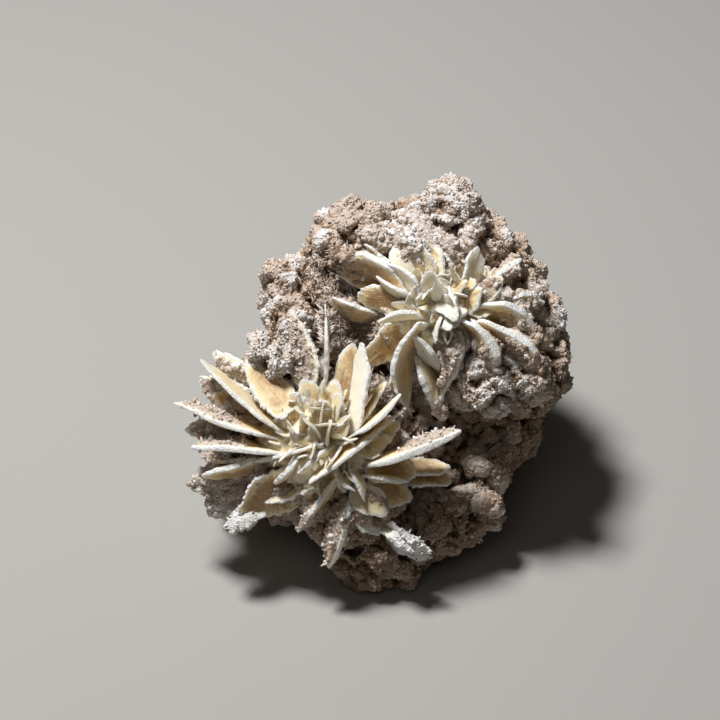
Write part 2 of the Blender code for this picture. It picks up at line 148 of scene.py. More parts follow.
# Blades: tip, root, breadth, lean, thickness and finish. A lean of 0 shows the edge and one of 90 the
# face. A positive lean turns the near edge clockwise round the rosette, seen from the front.
LOWER_BLADES = (
    ((-40.4, -3.0, 2.0), (-16.8, -10.6, 6.0), 12.0, -8, 1.0, "sugared"),
    ((-37.2, -10.9, 2.0), (-17.0, -12.1, 6.0), 11.0, -8, 1.2, "sugared"),
    ((-35.1, 5.7, 3.0), (-16.3, -10.7, 6.0), 13.0, -10, 0.9, "edge"),
    ((-26.0, 4.8, 4.0), (-16.6, -5.8, 8.0), 10.0, -60, 0.9, "golden"),
    ((-17.2, 8.8, 5.5), (-14.6, -1.0, 4.0), 5.5, 60, 1.0, "pale"),
    ((-17.0, 15.6, 4.0), (-13.6, 0.0, 6.0), 9.5, 52, 1.0, "coated"),
    ((-10.1, 16.8, 7.0), (-10.1, -3.4, 5.0), 9.0, 0, 0.9, "edge"),
    ((-4.6, 8.8, 5.0), (-8.0, -7.4, 7.0), 8.5, -75, 1.0, "amber"),
    ((-3.2, 9.2, 7.0), (-5.6, -9.8, 8.0), 9.0, 35, 0.9, "white"),
    ((1.3, 1.4, 4.0), (-4.4, -8.0, 7.0), 5.0, 30, 0.9, "sandy"),
    ((4.9, -1.4, 7.5), (-5.8, -10.4, 10.5), 9.0, 5, 0.9, "edge"),
    ((4.3, -4.5, 8.5), (-14.7, -18.8, 9.5), 8.0, 12, 0.9, "edge"),
    ((16.3, -8.7, 6.0), (-3.2, -15.6, 7.0), 12.0, 8, 1.6, "sugared"),
    ((6.4, -18.4, 5.0), (-4.0, -16.8, 6.0), 9.0, 0, 0.8, "edge"),
    ((-1.9, -22.1, 8.0), (-5.6, -14.0, 7.0), 6.0, 20, 0.9, "edge"),
    ((-5.0, -20.8, 9.0), (-8.8, -15.6, 7.0), 5.0, 10, 0.9, "edge"),
    ((-19.9, -19.4, 7.0), (-14.4, -12.8, 7.0), 6.0, 15, 1.4, "edge"),
    ((-25.6, -15.4, 5.0), (-8.6, -11.0, 8.5), 8.0, 18, 0.8, "cream"),
    ((-34.9, -18.4, 2.0), (-21.6, -14.6, 4.0), 9.0, 20, 1.3, "sandy"),
    ((-33.3, -15.4, 1.0), (-23.2, -14.0, 3.0), 6.0, 0, 0.9, "sandy"),
    ((-27.2, -25.8, 2.0), (-15.6, -16.4, 5.0), 13.0, 60, 1.0, "smoky"),
    ((-22.4, -23.0, 4.0), (-11.0, -17.4, 6.0), 5.5, -50, 0.9, "ragged"),
    ((-30.4, -28.2, 3.0), (-21.0, -21.4, 1.0), 5.0, -60, 0.8, "snowy"),
    ((-15.5, -28.7, 3.0), (-8.0, -17.6, 8.0), 5.0, 20, 1.1, "tipped"),
    ((-10.4, -35.8, 2.0), (-6.2, -22.0, 6.0), 8.0, -35, 1.2, "coated"),
    ((2.0, -25.0, 5.0), (-5.2, -20.0, 6.0), 8.0, 70, 0.9, "cream"),
    ((0.4, -29.2, 3.0), (-4.8, -21.6, 4.0), 8.0, 60, 1.0, "pale"),
    ((7.4, -17.2, 4.0), (-3.2, -14.8, 6.0), 8.0, 75, 0.9, "amber"),
    ((6.4, -22.4, 2.0), (-3.0, -18.0, 4.0), 8.0, 70, 1.0, "amber"),
    ((4.4, -7.2, 4.0), (-1.6, -10.8, 5.0), 5.0, 70, 0.9, "ragged"),
    ((9.8, -33.6, 3.0), (-1.6, -26.6, 0.0), 6.0, -45, 0.8, "snowy"),
    ((7.0, -32.0, 4.5), (-1.0, -26.0, 0.0), 4.4, 35, 0.7, "snowy"),
    ((14.4, -16.2, -1.0), (2.0, -15.6, -2.0), 7.0, 40, 0.9, "sandy"),
    ((15.0, -18.8, -2.0), (3.0, -17.6, -3.0), 7.0, 40, 0.9, "sandy"),
)
LOWER_PLATES = (
    ((-35.6, 2.0, -1.0), (-24.0, -4.6, 1.0), 9.0, 75, 1.4, "coated"),
    ((-38.2, -8.0, -2.0), (-28.0, -8.4, 0.0), 7.0, 70, 1.4, "coated"),
    ((-37.6, -19.6, -3.0), (-25.6, -17.6, -1.0), 9.0, 70, 2.2, "crusted"),
    ((-34.6, -24.8, -4.0), (-24.6, -20.4, -2.0), 8.0, 65, 2.2, "crusted"),
    ((-33.2, 7.0, -1.0), (-24.0, 0.0, 1.0), 7.0, 60, 1.4, "coated"),
    ((-32.8, -0.8, 2.2), (-28.4, -3.4, 0.5), 4.4, 80, 0.9, "sandy"),
    ((17.4, -25.4, -4.0), (4.6, -22.0, -8.0), 10.0, 75, 2.4, "crusted"),
)
LOWER_HEART = (
    ((-13.6, -3.8, 12.0), (-8.4, -4.6, 6.0), 5.0, 20, 0.55, "edge"),
    ((-13.9, -5.7, 12.5), (-11.2, -9.8, 6.0), 4.4, 0, 0.55, "edge"),
    ((-7.2, -1.0, 11.0), (-9.6, -6.4, 6.0), 6.0, 40, 0.55, "edge"),
    ((-9.6, -6.6, 13.5), (-10.0, -12.0, 6.0), 4.4, 0, 0.55, "edge"),
    ((-11.2, -2.6, 12.5), (-11.2, -8.0, 6.0), 4.4, 5, 0.55, "edge"),
    ((-14.6, -5.4, 11.5), (-15.4, -10.4, 6.0), 5.0, -20, 0.55, "edge"),
    ((-17.6, -6.4, 9.5), (-16.0, -10.8, 6.0), 5.0, 15, 0.55, "edge"),
    ((-12.4, -7.0, 13.5), (-7.0, -7.4, 6.0), 4.4, 10, 0.55, "edge"),
    ((-13.2, -13.8, 12.5), (-11.8, -9.8, 6.0), 4.4, 0, 0.55, "edge"),
    ((-9.6, -15.8, 13.0), (-7.0, -11.0, 6.0), 5.0, 10, 0.6, "edge"),
    ((-4.2, -10.4, 12.0), (-7.8, -10.0, 6.0), 5.0, 25, 0.6, "edge"),
    ((-5.8, -5.2, 12.0), (-8.2, -7.8, 6.0), 4.4, 0, 0.55, "edge"),
    ((0.0, -13.6, 9.5), (-4.0, -11.6, 6.0), 5.0, 50, 0.7, "cream"),
    ((-17.0, -0.8, 8.5), (-14.0, -8.4, 6.0), 6.0, 60, 0.7, "clear"),
    ((-9.2, 1.8, 8.5), (-10.6, -6.4, 6.0), 8.0, 75, 0.7, "cream"),
    ((-14.6, 1.8, 8.5), (-12.0, -5.4, 6.0), 7.0, -70, 0.7, "clear"),
    ((-6.6, -5.6, 11.0), (-8.4, -10.4, 6.0), 5.0, 50, 0.6, "cream"),
    ((-1.6, -1.0, 7.5), (-4.6, -6.4, 6.0), 3.6, 25, 0.6, "white"),
    ((-3.4, -5.0, 8.5), (-7.5, -11.0, 6.0), 6.0, 40, 0.7, "cream"),
    ((-15.4, -17.4, 8.5), (-7.2, -11.4, 8.0), 6.0, 25, 0.9, "edge"),
    ((-13.0, -16.0, 11.0), (-11.6, -11.0, 7.0), 4.0, 35, 0.7, "white"),
    ((-11.2, -15.0, 10.5), (-10.4, -11.6, 7.0), 4.0, 50, 0.6, "cream"),
    ((-13.2, 0.2, 10.5), (-14.8, -4.0, 6.0), 3.2, 55, 0.5, "white"),
    ((-10.9, 1.6, 10.0), (-11.4, -1.6, 6.0), 2.4, 30, 0.5, "white"),
    ((-12.2, -2.2, 12.0), (-9.4, -6.0, 7.0), 4.6, 70, 0.55, "cream"),
    ((-21.0, -3.2, 8.0), (-17.6, -8.4, 5.0), 2.8, 20, 0.6, "white"),
    ((-19.4, -4.0, 8.5), (-17.0, -8.6, 5.0), 2.6, -30, 0.6, "white"),
    ((-20.6, -5.8, 7.5), (-17.2, -9.2, 5.0), 2.6, 50, 0.6, "sandy"),
    ((2.4, -10.4, 6.0), (-4.4, -11.8, 5.0), 6.0, 75, 0.7, "ragged"),
)
UPPER_BLADES = (
    ((-9.0, 27.2, 3.0), (7.4, 18.0, 5.0), 12.0, 42, 1.9, "knobbed"),
    ((2.0, 24.8, 7.0), (8.6, 18.6, 8.0), 6.0, 30, 1.2, "white"),
    ((-3.0, 28.8, 5.0), (3.8, 23.0, 4.0), 5.0, 20, 0.9, "ragged"),
    ((3.2, 28.2, 5.0), (6.2, 21.6, 6.0), 5.4, 75, 1.0, "pale"),
    ((2.6, 32.0, 4.0), (11.0, 20.4, 7.0), 8.5, 55, 1.1, "crowned"),
    ((7.6, 34.0, 3.0), (12.2, 21.0, 7.0), 8.0, 45, 1.1, "crowned"),
    ((12.0, 31.8, 4.0), (16.0, 22.6, 4.5), 7.0, 30, 1.6, "crusted"),
    ((14.0, 24.4, 10.0), (16.0, 19.6, 5.5), 4.4, 70, 0.9, "pointed"),
    ((19.6, 28.0, 7.0), (18.0, 20.0, 7.0), 6.5, -50, 1.1, "pale"),
    ((9.8, 22.6, 11.5), (12.4, 16.6, 5.5), 6.4, 70, 1.0, "pale"),
    ((15.0, 13.6, 12.5), (12.0, 20.0, 5.5), 6.4, -60, 1.0, "white"),
    ((20.4, 19.8, 9.5), (15.6, 16.4, 5.5), 8.0, 65, 1.0, "clear"),
    ((13.2, 11.6, 10.5), (16.8, 17.0, 6.5), 5.0, -60, 1.0, "white"),
    ((-4.5, 18.4, 4.0), (7.6, 16.6, 6.0), 7.5, 65, 1.0, "brown"),
    ((-1.0, 21.6, 7.0), (6.6, 17.2, 8.0), 4.4, 20, 1.0, "pale"),
    ((0.0, 13.6, 7.0), (9.6, 14.6, 8.0), 5.5, 15, 1.2, "pale"),
    ((3.0, -2.8, 2.0), (7.4, 15.4, 7.0), 12.5, 22, 1.3, "arched"),
    ((-2.0, 4.0, 2.0), (6.4, 13.6, 4.0), 9.5, 72, 1.0, "brown"),
    ((3.2, -0.8, 0.0), (5.6, 8.6, 2.0), 5.0, 60, 1.0, "sandy"),
    ((13.6, -6.4, 1.0), (8.0, 8.6, 5.0), 10.0, 25, 1.2, "tipped"),
    ((7.4, 10.6, 9.0), (12.2, 3.6, 4.0), 5.0, 30, 1.5, "white"),
    ((12.8, -2.0, 4.0), (15.8, 12.0, 7.0), 9.0, -50, 1.0, "spired"),
    ((10.6, 9.0, 10.0), (12.4, 14.8, 6.5), 4.4, 0, 0.9, "white"),
    ((24.8, 1.8, 4.0), (17.2, 15.0, 7.0), 11.0, -18, 2.0, "shelled"),
    ((33.0, 3.0, 2.0), (19.4, 14.4, 6.0), 12.0, -30, 2.0, "shelled"),
    ((33.0, 9.4, 2.0), (20.0, 17.6, 6.0), 11.0, -32, 1.8, "shelled"),
    ((24.8, 22.2, 6.0), (19.0, 17.2, 6.0), 6.5, 60, 1.1, "coated"),
)
UPPER_HEART = (
    ((11.2, 25.2, 8.5), (10.6, 22.4, 6.0), 2.8, 60, 0.7, "white"),
    ((12.6, 23.2, 8.5), (13.2, 20.6, 6.0), 3.6, 70, 0.7, "clear"),
    ((19.2, 21.2, 8.5), (15.2, 19.4, 6.0), 5.0, 70, 0.7, "clear"),
    ((16.4, 17.6, 10.5), (14.2, 11.8, 7.5), 5.2, 10, 0.8, "hooked"),
    ((12.2, 11.4, 9.5), (16.6, 13.2, 8.0), 4.0, 0, 0.8, "white"),
    ((2.8, 20.4, 7.5), (6.4, 17.8, 7.0), 3.0, 20, 0.7, "pale"),
    ((2.8, 17.0, 7.0), (7.6, 15.8, 6.5), 4.0, 30, 0.8, "pale"),
    ((6.6, 19.8, 9.5), (9.8, 17.6, 6.0), 5.0, 60, 0.7, "pale"),
    ((7.2, 17.2, 10.0), (10.8, 17.6, 6.0), 4.6, 70, 0.6, "cream"),
    ((8.0, 15.2, 9.5), (11.2, 17.2, 6.0), 4.4, -60, 0.6, "cream"),
    ((8.4, 18.0, 11.0), (10.8, 19.4, 7.0), 3.0, 5, 0.5, "white"),
    ((11.0, 20.6, 12.5), (12.6, 16.0, 6.5), 4.0, 60, 0.6, "white"),
    ((14.4, 18.0, 12.5), (12.6, 16.0, 6.5), 4.4, 75, 0.6, "pale"),
    ((5.0, 10.6, 5.5), (7.0, 14.2, 6.0), 4.6, 70, 0.7, "pale"),
    ((21.8, 10.2, 7.5), (18.8, 14.4, 6.5), 5.0, 20, 0.8, "pale"),
    ((13.0, 8.6, 8.0), (13.6, 12.0, 6.5), 3.0, 10, 0.5, "white"),
    ((14.4, 8.8, 8.0), (14.2, 12.0, 6.5), 3.0, -10, 0.5, "white"),
    ((15.4, 7.4, 7.5), (14.8, 12.0, 6.5), 3.0, 5, 0.5, "white"),
    ((9.6, 6.4, 7.5), (10.0, 12.0, 6.5), 4.0, 60, 0.6, "cream"),
    ((16.8, 21.4, 10.0), (14.4, 17.6, 6.5), 3.0, 30, 0.5, "clear"),
    ((22.6, 14.8, 7.0), (17.6, 15.6, 6.5), 4.6, 60, 0.7, "cream"),
)
# Short blades that fill each heart between the others: the heart's lump, and the blades' reach,
# count, most lean and finishes.
HEART_FILLS = (
    (LUMPS[21], 8.0, 46, 30, ("cream", "pale", "edge")),
    (LUMPS[23], 6.5, 20, 75, ("pale", "cream", "white")),
)
FILL_LENGTHS, FILL_BREADTHS, FILL_THICKNESSES = (3.0, 5.5), (2.4, 4.4), (0.35, 0.55)
FILL_SUNK, FILL_TURN = 1.2, 0.8
FILL_SPREAD, FILL_RISE = (0.25, 0.75), (1.15, -0.5)  # in the middle, and the change to the outside
UPPER_PLATES = (
    ((-4.2, 31.2, 2.0), (6.0, 27.0, 1.0), 7.0, 10, 1.6, "crusted"),
    ((30.4, 14.8, 0.0), (23.6, 19.0, 0.0), 6.0, -20, 1.8, "crusted"),
    ((33.2, 20.6, -5.0), (28.0, 16.6, -5.0), 6.0, 30, 1.0, "crusted"),
    ((-9.6, 17.4, 3.0), (0.0, 13.4, 1.0), 7.0, 30, 1.0, "sugared"),
    ((6.0, 35.4, -5.0), (13.2, 24.4, 1.5), 9.0, 25, 1.5, "crusted"),
    ((-0.2, 33.4, -3.0), (6.6, 26.0, 1.0), 8.0, 30, 1.4, "crusted"),
    ((-6.4, 34.4, -4.5), (1.6, 28.4, -0.5), 8.0, 35, 1.4, "crusted"),
    ((20.4, 35.6, -8.0), (16.8, 26.4, 0.0), 8.0, 10, 1.5, "crusted"),
    ((28.8, 25.6, -5.0), (22.4, 20.4, 2.0), 9.0, -15, 1.2, "coated"),
    ((33.2, 17.4, -4.0), (25.0, 17.2, 2.0), 8.0, -25, 1.2, "coated"),
)
LARGE_BREADTH, SMALL_BREADTH = 5.1, 4.2
LENSES = {"large": (150, 10), "small": (64, 7), "tiny": (36, 5)}  # sides and rings on each face
RIM_CROWDING = 1.6  # higher draws a blade's rings of vertices closer to its rim
RIM_ROUND, RIM_BEVEL = 0.12, 0.7  # how far in a blade's rim is rounded off, and is thinner
RIM_SHARE = 0.8  # of the thickness that the rim keeps
BLUNT = 0.97  # lower squares off a blade's ends
TIP_SHARE = 0.42  # of the thickness that the tip and the root keep
BEND = 0.9  # the most that a blade's ends bow out of flat
BLADE_SHIFT = 17.3  # how far along the waves each blade lies from the one before
WIDE_RIM = 5.0  # a blade with less than this half breadth has a frosted rim that is narrower too
CORNER_SHARPNESS = 40.0  # higher leaves the corners of a blade's outline keener
SHARP = math.radians(32)  # a blade's edges that turn by more than this are crisp
OUTLINE_CUTS = (6, 10)  # the fewest and the most flat cuts round a blade's oval
CUT_DEPTHS = (0.76, 1.0)  # the middle's distance from a cut, as a share of the oval
CUT_WANDER = 0.35  # of the way from one cut to the next
TIP_FACING = 0.85  # a cut that faces the tip more squarely than this doesn't shorten it
# The waves, chips and teeth of a torn rim: how many to a millimetre, and how high they are. Chips
# lie where a random pattern is in their range, and a ragged rim has higher teeth.
RIM_WAVES, RAGGED_RATE = (0.25, 0.3), 0.9
CHIP_RATE, CHIP_RANGE, CHIP_SHIFT = 0.6, (0.12, 0.22), Vector((0, 0, 5))
TEETH, FINE_TEETH = (1.5, 1.0), (3.1, 0.6)
LEAST_TEETH, RAGGED_TEETH = 0.08, 0.6
SIDE_SKEW = 0.2  # how far the two faces' outlines differ along their waves
BOW_WAVES, RIPPLES = ((0.11, 0.30), (0.4, 0.08)), (1.1, 0.05)  # of a whole blade, and of its faces
CRUST_WAVES = (0.35, 0.16)  # they shift the border of the crust, as a share of the length
FACE_FADE, RIM_FADE = 0.1, 0.08  # how softly the crust ends along a face and along the rim
OTHER_SIDE = 0.25  # of the crust, on the other face of a blade that is crusted on one side
CRUST_INSET = (0.5, 1.1)  # from the rim inwards, where the crust on a face sets in
# How thick the crust on a blade is: its skin, the share of its knobs' height that is there at the
# rim, and what that share gains by this far in.
CRUST_SKIN, KNOBS_AT_RIM, KNOBS_INWARD, KNOB_INSET = 0.1, 0.3, 0.8, 1.6
BLADE_KNOBS = ((2.1, 0.7), (1.0, 0.3))  # across, and high

# Where the crystals of the crust grow: how near the ground, which groups of blades have knobs, and
# where flakes and fibres are thickest, as a middle in the face's frame and a reach.
LOWEST_GRAIN = 0.8
GRAIN_PIECES = 3
FLAKES_ANYWHERE = 0.15
PLACE_FADE = 1.5  # how steeply crystals thin out towards the edge of a place where they grow
WHITEST = 1.15  # the tone of the whitest crystals, where 0 is brown
# Painted shade: grains are darker in the mass's hollows, and darker down to the right on the mass and
# on toned blades.
PLAIN_TONE, FROST_TONE, HOLLOW_SHADE_TONE = 0.80, 0.32, 0.85  # frost adds to it, and hollows take away
AMBER_TONE, AMBER_FROST = 0.75, 0.35  # what an amber blade takes away, and how much less in frost
# How thickly grains and flakes cover the mass: on its knobs, how much less in a hollow, and least.
GRAIN_COVER, FLAKE_COVER = (1.4, 1.0, 0.3), (1.6, 2.2, 0.0)
KNOBBY = ("lower_plates", "upper_blades", "upper_plates")
FLAKY = ("lower_blades",)
FLAKE_PLACES = (
    ((24.0, 2.0, 1.0), 12.0),  # under the right-hand blades
    ((-21.4, 6.0, 3.0), 8.0),  # knob in the lower rosette
    ((9.0, -3.0, 0.0), 7.0),  # between the rosettes, at the bottom of the upper one
    ((14.0, 36.0, -5.0), 9.0),  # top bump
)
FIBRE_PLACES = (
    ((-5.0, 12.0, 0.0), 7.5),  # gap between the rosettes
    ((-8.0, 22.0, 0.0), 7.0),  # beside the upper left plate
    ((1.0, 0.0, 0.0), 5.0),  # under the brown petals
)

# The feathers of the tall thin blade: the blade and where they stand on it, and how they point.
FEATHERED = LOWER_BLADES[6]
FEATHER_COUNT = 170
FEATHER_FROM, BARE_TIP = 8.0, 1.6
FEATHER_SIDE, FEATHER_FRONT, FEATHER_DEPTH = 0.4, 1.2, 3.0
FEATHER_RISE, FEATHER_SPLAY = (0.55, 0.3), 0.4

# The view: the picture's middle in the face's frame, its width there, and the lens.
PICTURE_MIDDLE = Vector((-3.6, 5.6, 0.0))
PICTURE_WIDTH = 144.0
VIEW_DISTANCE = 600.0
SENSOR = 36.0
NEAREST, FARTHEST = 0.01, 10.0  # what the camera sees, in metres
FLOOR_SIZE = 4.0  # half its width, in metres

# The lamps: the way that each one lies from the roses in the face's frame, its distance and size in
# metres, and its power.
LAMPS = {
    "key lamp": ((-0.30, 0.85, 0.52), 0.6, 0.12, 5.3),
    "front fill": ((-0.2, 0.3, 1.0), 1.0, 0.5, 0.38),
}
ROOM_LIGHT, ROOM_STRENGTH = (1.0, 0.93, 0.84, 1.0), 0.025


def face_to_world():
    """From millimetres in the face's frame to metres in the world."""
    up, out = math.cos(FACE_ELEVATION), math.sin(FACE_ELEVATION)
    turn = Matrix(((1, 0, 0), (0, out, -up), (0, up, out))).to_4x4()
    return Matrix.Scale(MM, 4) @ Matrix.Translation(FACE_MIDDLE) @ turn


def smooth(low, high, value):
    """0 below low, 1 above high, and an even curve between."""
    share = min(1.0, max(0.0, (value - low) / (high - low)))
    return share * share * (3.0 - 2.0 * share)


def wave(place, rate, height):
    """A smooth random swell: this many waves to a millimetre, this high."""
    return height * noise.noise(place * rate)


def dome(place):
    """1 at the middle of each rounded cell, and 0 where cells meet."""
    return 1.0 - min(1.0, noise.voronoi(place)[0][0]) ** 2


def covered(point, lump):
    """Whether a point of one lump lies inside this other one."""
    middle, radii = lump
    reach = sum(((p - m) / r) ** 2 for p, m, r in zip(point, middle, radii))
    return reach < COVERED**2


def spread_points(spacing):
    """Points this far apart over the outside of the joined lumps, with the way each one faces."""
    golden = math.pi * (3.0 - math.sqrt(5.0))
    for lump in LUMPS:
        middle, radii = Vector(lump[0]), Vector(lump[1])
        size = sum(radii) / 3.0
        count = max(FEWEST_POINTS, round(4.0 * math.pi * size**2 / spacing**2))
        for i in range(count):
            height = 1.0 - (2.0 * i + 1.0) / count
            ring = math.sqrt(1.0 - height**2)
            way = Vector((ring * math.cos(golden * i), height, ring * math.sin(golden * i)))
            point = middle + way * radii
            if any(covered(point, other) for other in LUMPS if other is not lump):
                continue
            near_heart = min(math.dist(point.xy, heart) for heart in HEARTS)
            if near_heart < HEART_CLEAR and point.z > HEART_DEPTH * middle.z:
                continue
            facing = Vector([w / r for w, r in zip(way, radii)]).normalized()
            yield point, facing


def placed(name, data):
    """A new object in the scene with this mesh, lamp or camera."""
    thing = bpy.data.objects.new(name, data)
    bpy.context.scene.collection.objects.link(thing)
    return thing


def mesh_from(bm, name):
    """A mesh made from a bmesh, which is then freed."""
    mesh = bpy.data.meshes.new(name)
    bm.to_mesh(mesh)
    bm.free()
    return mesh


def finished(name, mesh, material):
    """The piece of this mesh, which rides on the body."""
    piece = placed(name, mesh)
    mesh.materials.clear()
    mesh.materials.append(material)
    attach(piece, "root")
    return piece


def cut_flat(bm):
    """Cuts off what is below the ground and closes the cut."""
    geometry = bm.verts[:] + bm.edges[:] + bm.faces[:]
    bmesh.ops.bisect_plane(
        bm, geom=geometry, dist=1e-7, plane_co=(0, 0, 0), plane_no=(0, 0, -1), clear_outer=True
    )
    open_edges = [edge for edge in bm.edges if edge.is_boundary]
    bmesh.ops.holes_fill(bm, edges=open_edges, sides=0)
    bmesh.ops.triangulate(bm, faces=[face for face in bm.faces if len(face.verts) > 4])


def corners_of(elements):
    """The corners of each edge or face, in an order that is the same each time."""
    return sorted(([vert.index for vert in element.verts] for element in elements), key=sorted)


def in_order(bm):
    """The same template, made again with its edges and faces in the order of their corners."""
    bm.verts.index_update()
    ordered = bmesh.new()
    verts = [ordered.verts.new(vert.co) for vert in bm.verts]
    for corners in corners_of(bm.edges):
        ordered.edges.new([verts[index] for index in sorted(corners)])
    for corners in corners_of(bm.faces):
        ordered.faces.new([verts[index] for index in corners])
    ordered.verts.index_update()
    bm.free()
    return ordered


# The mass.


def ball(subdivisions):
    """A round template mesh, one unit in radius."""
    bm = bmesh.new()
    bmesh.ops.create_icosphere(bm, subdivisions=subdivisions, radius=1.0)
    return mesh_from(in_order(bm), "ball")


def add_copy(bm, template, matrix):
    """Adds a copy of a template mesh, placed by this matrix."""
    copy = template.copy()
    copy.transform(matrix)
    bm.from_mesh(copy)
    bpy.data.meshes.remove(copy)


def lump_skin():
    """The lumps and their nodules drawn into one fine skin."""
    rng = random.Random(SEED)
    lump, nodule = ball(LUMP_DETAIL), ball(NODULE_DETAIL)
    bm = bmesh.new()
    for middle, radii in LUMPS:
        add_copy(bm, lump, Matrix.Translation(middle) @ Matrix.Diagonal((*radii, 1.0)))
    for point, facing in spread_points(NODULE_SPACING):
        radius = rng.uniform(*NODULE_RADII)
        place = Matrix.Translation(point - facing * radius * NODULE_SUNK)
        add_copy(bm, nodule, place @ Matrix.Scale(radius, 4))
    bmesh.ops.transform(bm, matrix=face_to_world(), verts=bm.verts)
    helper = placed("lumps", mesh_from(bm, "lumps"))
    skin = helper.modifiers.new("skin", "REMESH")
    skin.mode = "VOXEL"
    skin.voxel_size = VOXEL * MM
    graph = bpy.context.evaluated_depsgraph_get()
    drawn = bpy.data.meshes.new_from_object(helper.evaluated_get(graph))
    bpy.data.objects.remove(helper)
    return drawn


def crust_relief(place):
    """How far the crust stands out here, in millimetres: domes of three sizes, bent and in clumps."""
    bent = place.copy()
    for rate, reach in BENDS:
        bent += noise.noise_vector(place * rate) * reach
    clump = smooth(*CLUMP_RANGE, noise.noise(place * CLUMP_RATE))
    relief = wave(place, *SWELL) + BETWEEN_FOLDS - abs(wave(bent, *FOLDS))
    for across, height, in_clump, between in DOMES:
        relief += (height + in_clump * clump + between * (1.0 - clump)) * dome(bent / across)
    return relief - SKIN_SUNK


def read(elements, name, width, kind=np.float32):
    """Numbers of a mesh's elements, this many to an element, as the rows of an array."""
    values = np.empty(len(elements) * width, kind)
    elements.foreach_get(name, values)
    return values.reshape(-1, width)


def points_of(mesh):
    return read(mesh.vertices, "co", 3).astype(float)


def normals_of(mesh):
    return read(mesh.vertex_normals, "vector", 3).astype(float)


def hollows_of(mesh, rounds):
    """How deep each vertex lies under its smoothed surroundings, in millimetres."""
    ends = read(mesh.edges, "vertices", 2, np.int32)
    start = points_of(mesh)
    count = np.bincount(ends.ravel(), minlength=len(start))[:, None]
    eased = start.copy()
    for _ in range(rounds):
        total = np.zeros_like(eased)
        for axis in range(3):
            total[:, axis] = np.bincount(ends[:, 0], eased[ends[:, 1], axis], len(start))
            total[:, axis] += np.bincount(ends[:, 1], eased[ends[:, 0], axis], len(start))
        eased = total / np.maximum(count, 1)
    return np.einsum("ij,ij->i", eased - start, normals_of(mesh)) / MM


def store(mesh, name, values):
    """Keeps a value for each vertex under this name."""
    attribute = mesh.attributes.new(name, "FLOAT", "POINT")
    attribute.data.foreach_set("value", np.asarray(values, np.float32))


def heart_share(place):
    """1 in the clear hearts of the rosettes, falling to 0 where the crust begins."""
    x, y, z = face_to_world().inverted() @ place
    near = min(math.dist((x, y), heart) for heart in HEARTS)
    return (1.0 - smooth(*BARE_HEART, near)) * smooth(*BARE_LEVELS, z)


def in_face(points):
    """These points in the face's frame, in millimetres."""
    inverse = np.array(face_to_world().inverted())
    return points @ inverse[:3, :3].T + inverse[:3, 3]


def frost_and_shade_shares(points):
    """1 where the crust is frosted white, 0 where it is plain, and below 0 where painted shade turns it
    brown.
    """
    places = [Vector(point) / MM * FROST_RATE + FROST_SHIFT for point in points]
    patches = np.array([smooth(*FROST_RANGE, noise.noise(place)) for place in places])
    local = in_face(points)
    # Painted shade: the crust darkens to brown down and to the right, where it lies in shade.
    brown = np.clip((SHADE_FROM - local[:, 1] + SHADE_SLOPE * local[:, 0]) / SHADE_FADE, 0.0, 1.0)
    return patches * (1.0 - brown) - DEEPEST_SHADE * brown


def make_mass():
    """The crusted mass, roughened and cut off flat underneath."""
    mesh = lump_skin()
    points, normals = points_of(mesh), normals_of(mesh)
    relief = np.array([crust_relief(Vector(p) / MM) for p in points])
    mesh.vertices.foreach_set("co", (points + normals * relief[:, None] * MM).ravel())
    mesh.update()
    bm = bmesh.new()
    bm.from_mesh(mesh)
    cut_flat(bm)
    bm.to_mesh(mesh)
    bm.free()
    mesh.shade_smooth()
    hollow = 0.5
    for rounds, weight in HOLLOWS:
        hollow = hollow + hollows_of(mesh, rounds) * weight
    store(mesh, "hollow", np.clip(hollow, 0.0, 1.0))
    store(mesh, "heart", [heart_share(vert.co) for vert in mesh.vertices])
    frost_and_shade, flaked = frost_and_shade_shares(points_of(mesh)), near_places(points_of(mesh), FLAKE_PLACES)
    # Frosted patches above 0, and painted shade below 0 down to the right.
    store(mesh, "frost_and_shade", np.where(flaked > 0.0, np.maximum(frost_and_shade, flaked), frost_and_shade))
    piece = finished("crusted_mass", mesh, sandy_crust())
    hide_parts(NODE)
    return piece


# The blades.


def blade_axes(tip, root, lean):
    """Along, across and through a blade, as the columns of a matrix."""
    along = (tip - root).normalized()
    near = Vector((0, 0, 1)) - along * along.z
    near.normalize()
    turned = math.radians(lean)
    across = near * math.cos(turned) + along.cross(near) * math.sin(turned)
    return Matrix((along, across, along.cross(across))).transposed()


BLADE_LAYERS = ("edge", "tone", "sand", "crust")


def lens(sides, rings):
    """A template for blades: a ball with this many sides and rings, and the blades' layers."""
    bm = bmesh.new()
    bmesh.ops.create_uvsphere(bm, u_segments=sides, v_segments=2 * rings, radius=1.0)
    bm = in_order(bm)
    for layer in BLADE_LAYERS:
        bm.verts.layers.float.new(layer)
    bm.verts.layers.float_vector.new("plate")
    return bm


def outline_cuts(rng):
    """Flat cuts round a blade's oval: the way each faces, and how near the middle it comes."""
    count = rng.randint(*OUTLINE_CUTS)
    ways = [math.tau * (k + rng.uniform(-CUT_WANDER, CUT_WANDER)) / count for k in range(count)]
    return [
        (way, 1.0 if math.cos(way) > TIP_FACING else rng.uniform(*CUT_DEPTHS)) for way in ways
    ]


def outline_reach(turn, cuts):
    """How far the cut outline reaches this way, as a share of the oval, with its corners eased."""
    total = 1.0
    for way, depth in cuts:
        total += (max(0.0, math.cos(turn - way)) / depth) ** CORNER_SHARPNESS
    return total ** (-1.0 / CORNER_SHARPNESS) * 2.0 ** (1.0 / CORNER_SHARPNESS)


def blunted(share):
    """Draws an oval out towards a rectangle, so that a blade's ends are blunt."""
    return math.copysign(abs(share) ** BLUNT, share)


